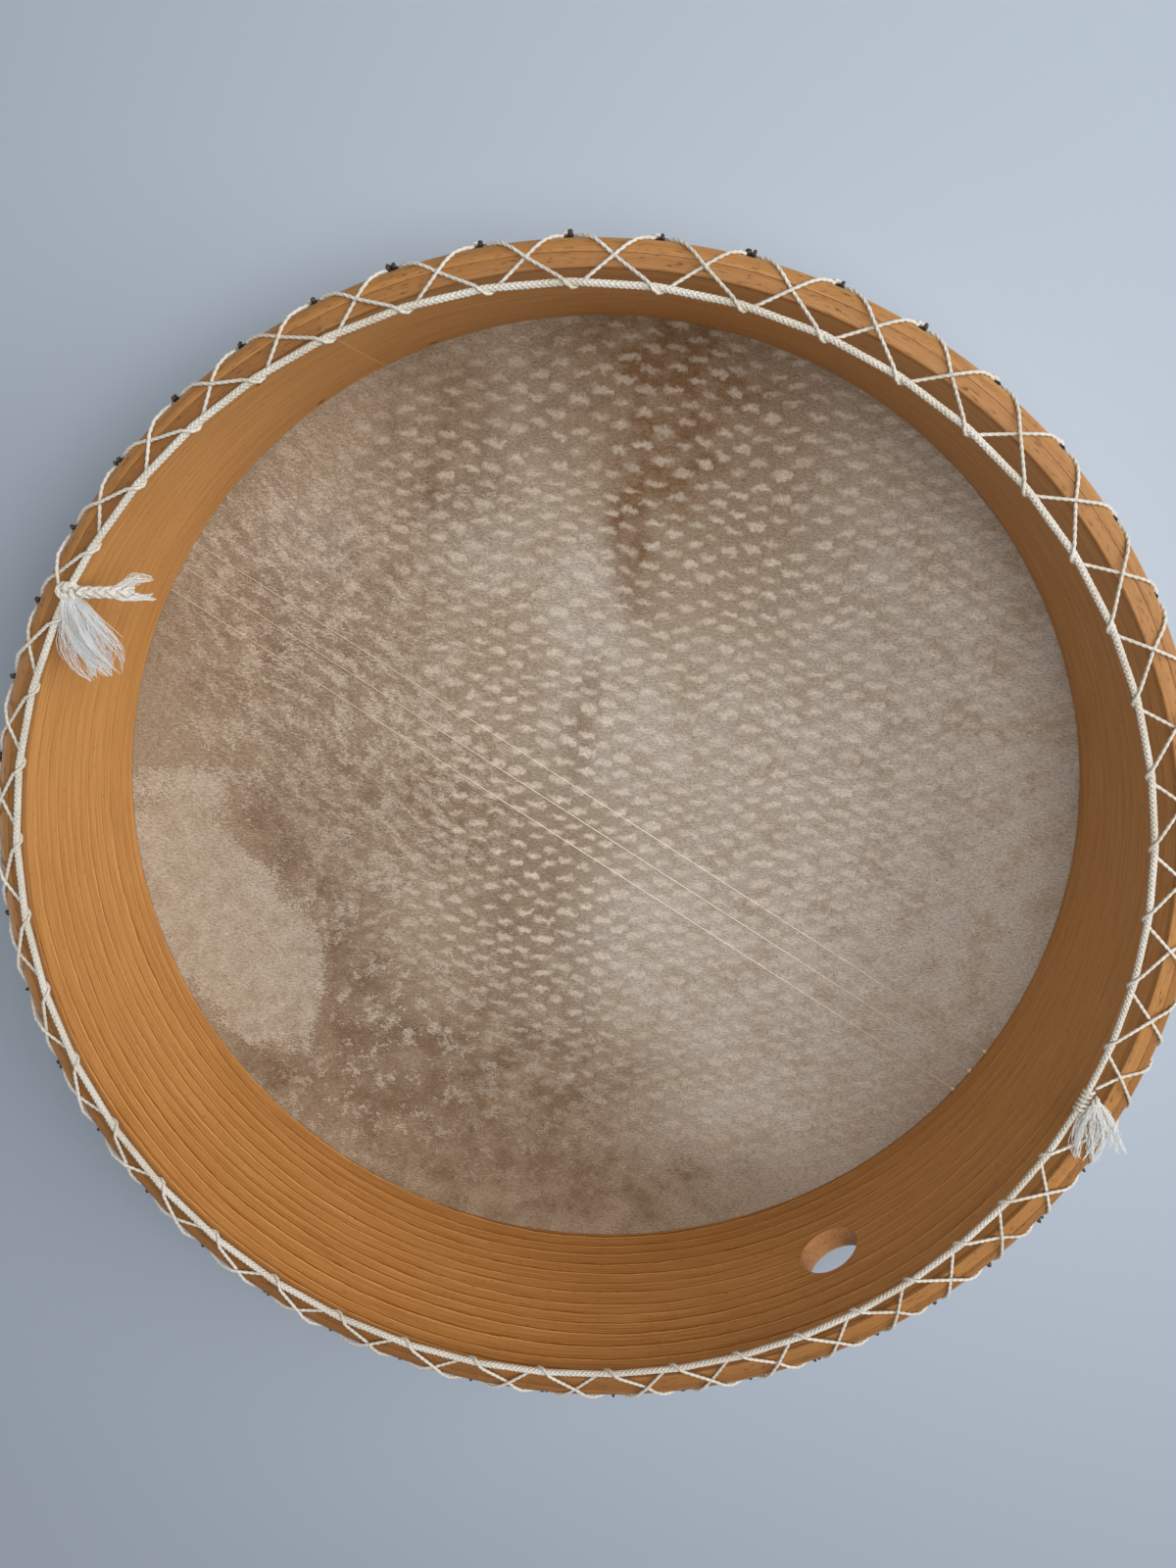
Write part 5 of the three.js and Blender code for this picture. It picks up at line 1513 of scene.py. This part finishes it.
class BENDIR_OT_stage(bpy.types.Operator):
    """Sets the camera, the floor and the light"""

    bl_idname = "bendir.stage"
    bl_label = "Stage"

    def execute(self, context):
        settings = context.scene.bendir_stage
        scene = context.scene
        data = bpy.data.cameras.new("camera")
        data.sensor_width = SENSOR_MM
        data.lens = SENSOR_MM * FOCAL_PIXELS / IMAGE_HEIGHT
        data.clip_start = 0.01
        camera = bpy.data.objects.new("camera", data)
        right = CAMERA_LOOK.cross(CAMERA_UP).normalized()
        upward = right.cross(CAMERA_LOOK).normalized()
        axes = Matrix((right, upward, -CAMERA_LOOK.normalized())).transposed()
        camera.matrix_world = Matrix.Translation(CAMERA_PLACE) @ axes.to_4x4()
        scene.collection.objects.link(camera)
        scene.camera = camera

        half, under = settings.floor_half, -0.2 * MM
        corners = [(x * half, y * half, under) for x, y in ((-1, -1), (1, -1), (1, 1), (-1, 1))]
        floor = new_object("floor", corners, (), [(0, 1, 2, 3)])
        floor.data.materials.append(matt_floor(settings))

        world = bpy.data.worlds.new("soft sky")
        world.use_nodes = True
        tree = world.node_tree
        tree.nodes.clear()
        levels = {"Value": backdrop_rays(tree), 3: settings.sky_level, 4: settings.backdrop_level}
        strength = node(tree, "ShaderNodeMapRange", levels)
        sky = node(tree, "ShaderNodeBackground", {"Color": (*settings.sky, 1), "Strength": strength})
        node(tree, "ShaderNodeOutputWorld", {"Surface": sky})
        scene.world = world

        # A large soft lamp to the right of the picture lights the left wall, a nearer one above the right
        # half lights the head, and a low one, no higher than the rim, fills the collar's far side
        lamps = (
            ("key", settings.key_power, 1.4, 1.4, math.radians(14), math.radians(36), 1.7),
            ("top", settings.top_power, 0.5, 0.5, math.radians(40), math.radians(77), 0.8),
            ("fill", settings.fill_power, 1.6, 0.11, math.radians(190), math.radians(1.8), 2.2),
        )
        for name, power, width, height, azimuth, elevation, distance in lamps:
            lamp = bpy.data.lights.new(name, "AREA")
            lamp.shape, lamp.size, lamp.size_y, lamp.energy = "ELLIPSE", width, height, power
            lamp.color = settings.lamp
            light = bpy.data.objects.new(name, lamp)
            back = polar(math.cos(elevation), azimuth - PICTURE_TURN, math.sin(elevation))
            facing = back.to_track_quat("Z", "Y").to_matrix().to_4x4()
            light.matrix_world = Matrix.Translation(back * distance) @ facing
            light.visible_camera = False
            scene.collection.objects.link(light)
        scene.view_settings.view_transform = "Standard"
        return {"FINISHED"}


OPERATORS = (
    BENDIR_OT_stage,
    BENDIR_OT_hoop,
    BENDIR_OT_skin,
    BENDIR_OT_ring_cord,
    BENDIR_OT_lacing,
    BENDIR_OT_snares,
)


class BENDIR_PT_panel(bpy.types.Panel):
    """Lists the drum's pieces in the sidebar"""

    bl_idname = "BENDIR_PT_panel"
    bl_label = "Bendir"
    bl_space_type = "VIEW_3D"
    bl_region_type = "UI"
    bl_category = "Bendir"

    def draw(self, context):
        for operator in OPERATORS:
            self.layout.operator(operator.bl_idname)


SETTINGS = {
    "bendir_hoop": HoopSettings,
    "bendir_skin": SkinSettings,
    "bendir_cords": CordSettings,
    "bendir_snares": SnareSettings,
    "bendir_stage": StageSettings,
}


def register():
    """Adds the settings, the operators and the panel."""
    for kind in (*SETTINGS.values(), *OPERATORS, BENDIR_PT_panel):
        bpy.utils.register_class(kind)
    for name, kind in SETTINGS.items():
        setattr(bpy.types.Scene, name, PointerProperty(type=kind))


def unregister():
    """Takes the settings, the operators and the panel away again."""
    for name in SETTINGS:
        delattr(bpy.types.Scene, name)
    for kind in reversed((*SETTINGS.values(), *OPERATORS, BENDIR_PT_panel)):
        bpy.utils.unregister_class(kind)


def main():
    """Builds the whole drum on its stage."""
    register()
    bpy.ops.bendir.stage()
    bpy.ops.bendir.hoop()
    bpy.ops.bendir.skin()
    bpy.ops.bendir.ring_cord()
    bpy.ops.bendir.lacing()
    bpy.ops.bendir.snares()


if __name__ == "__main__":
    main()
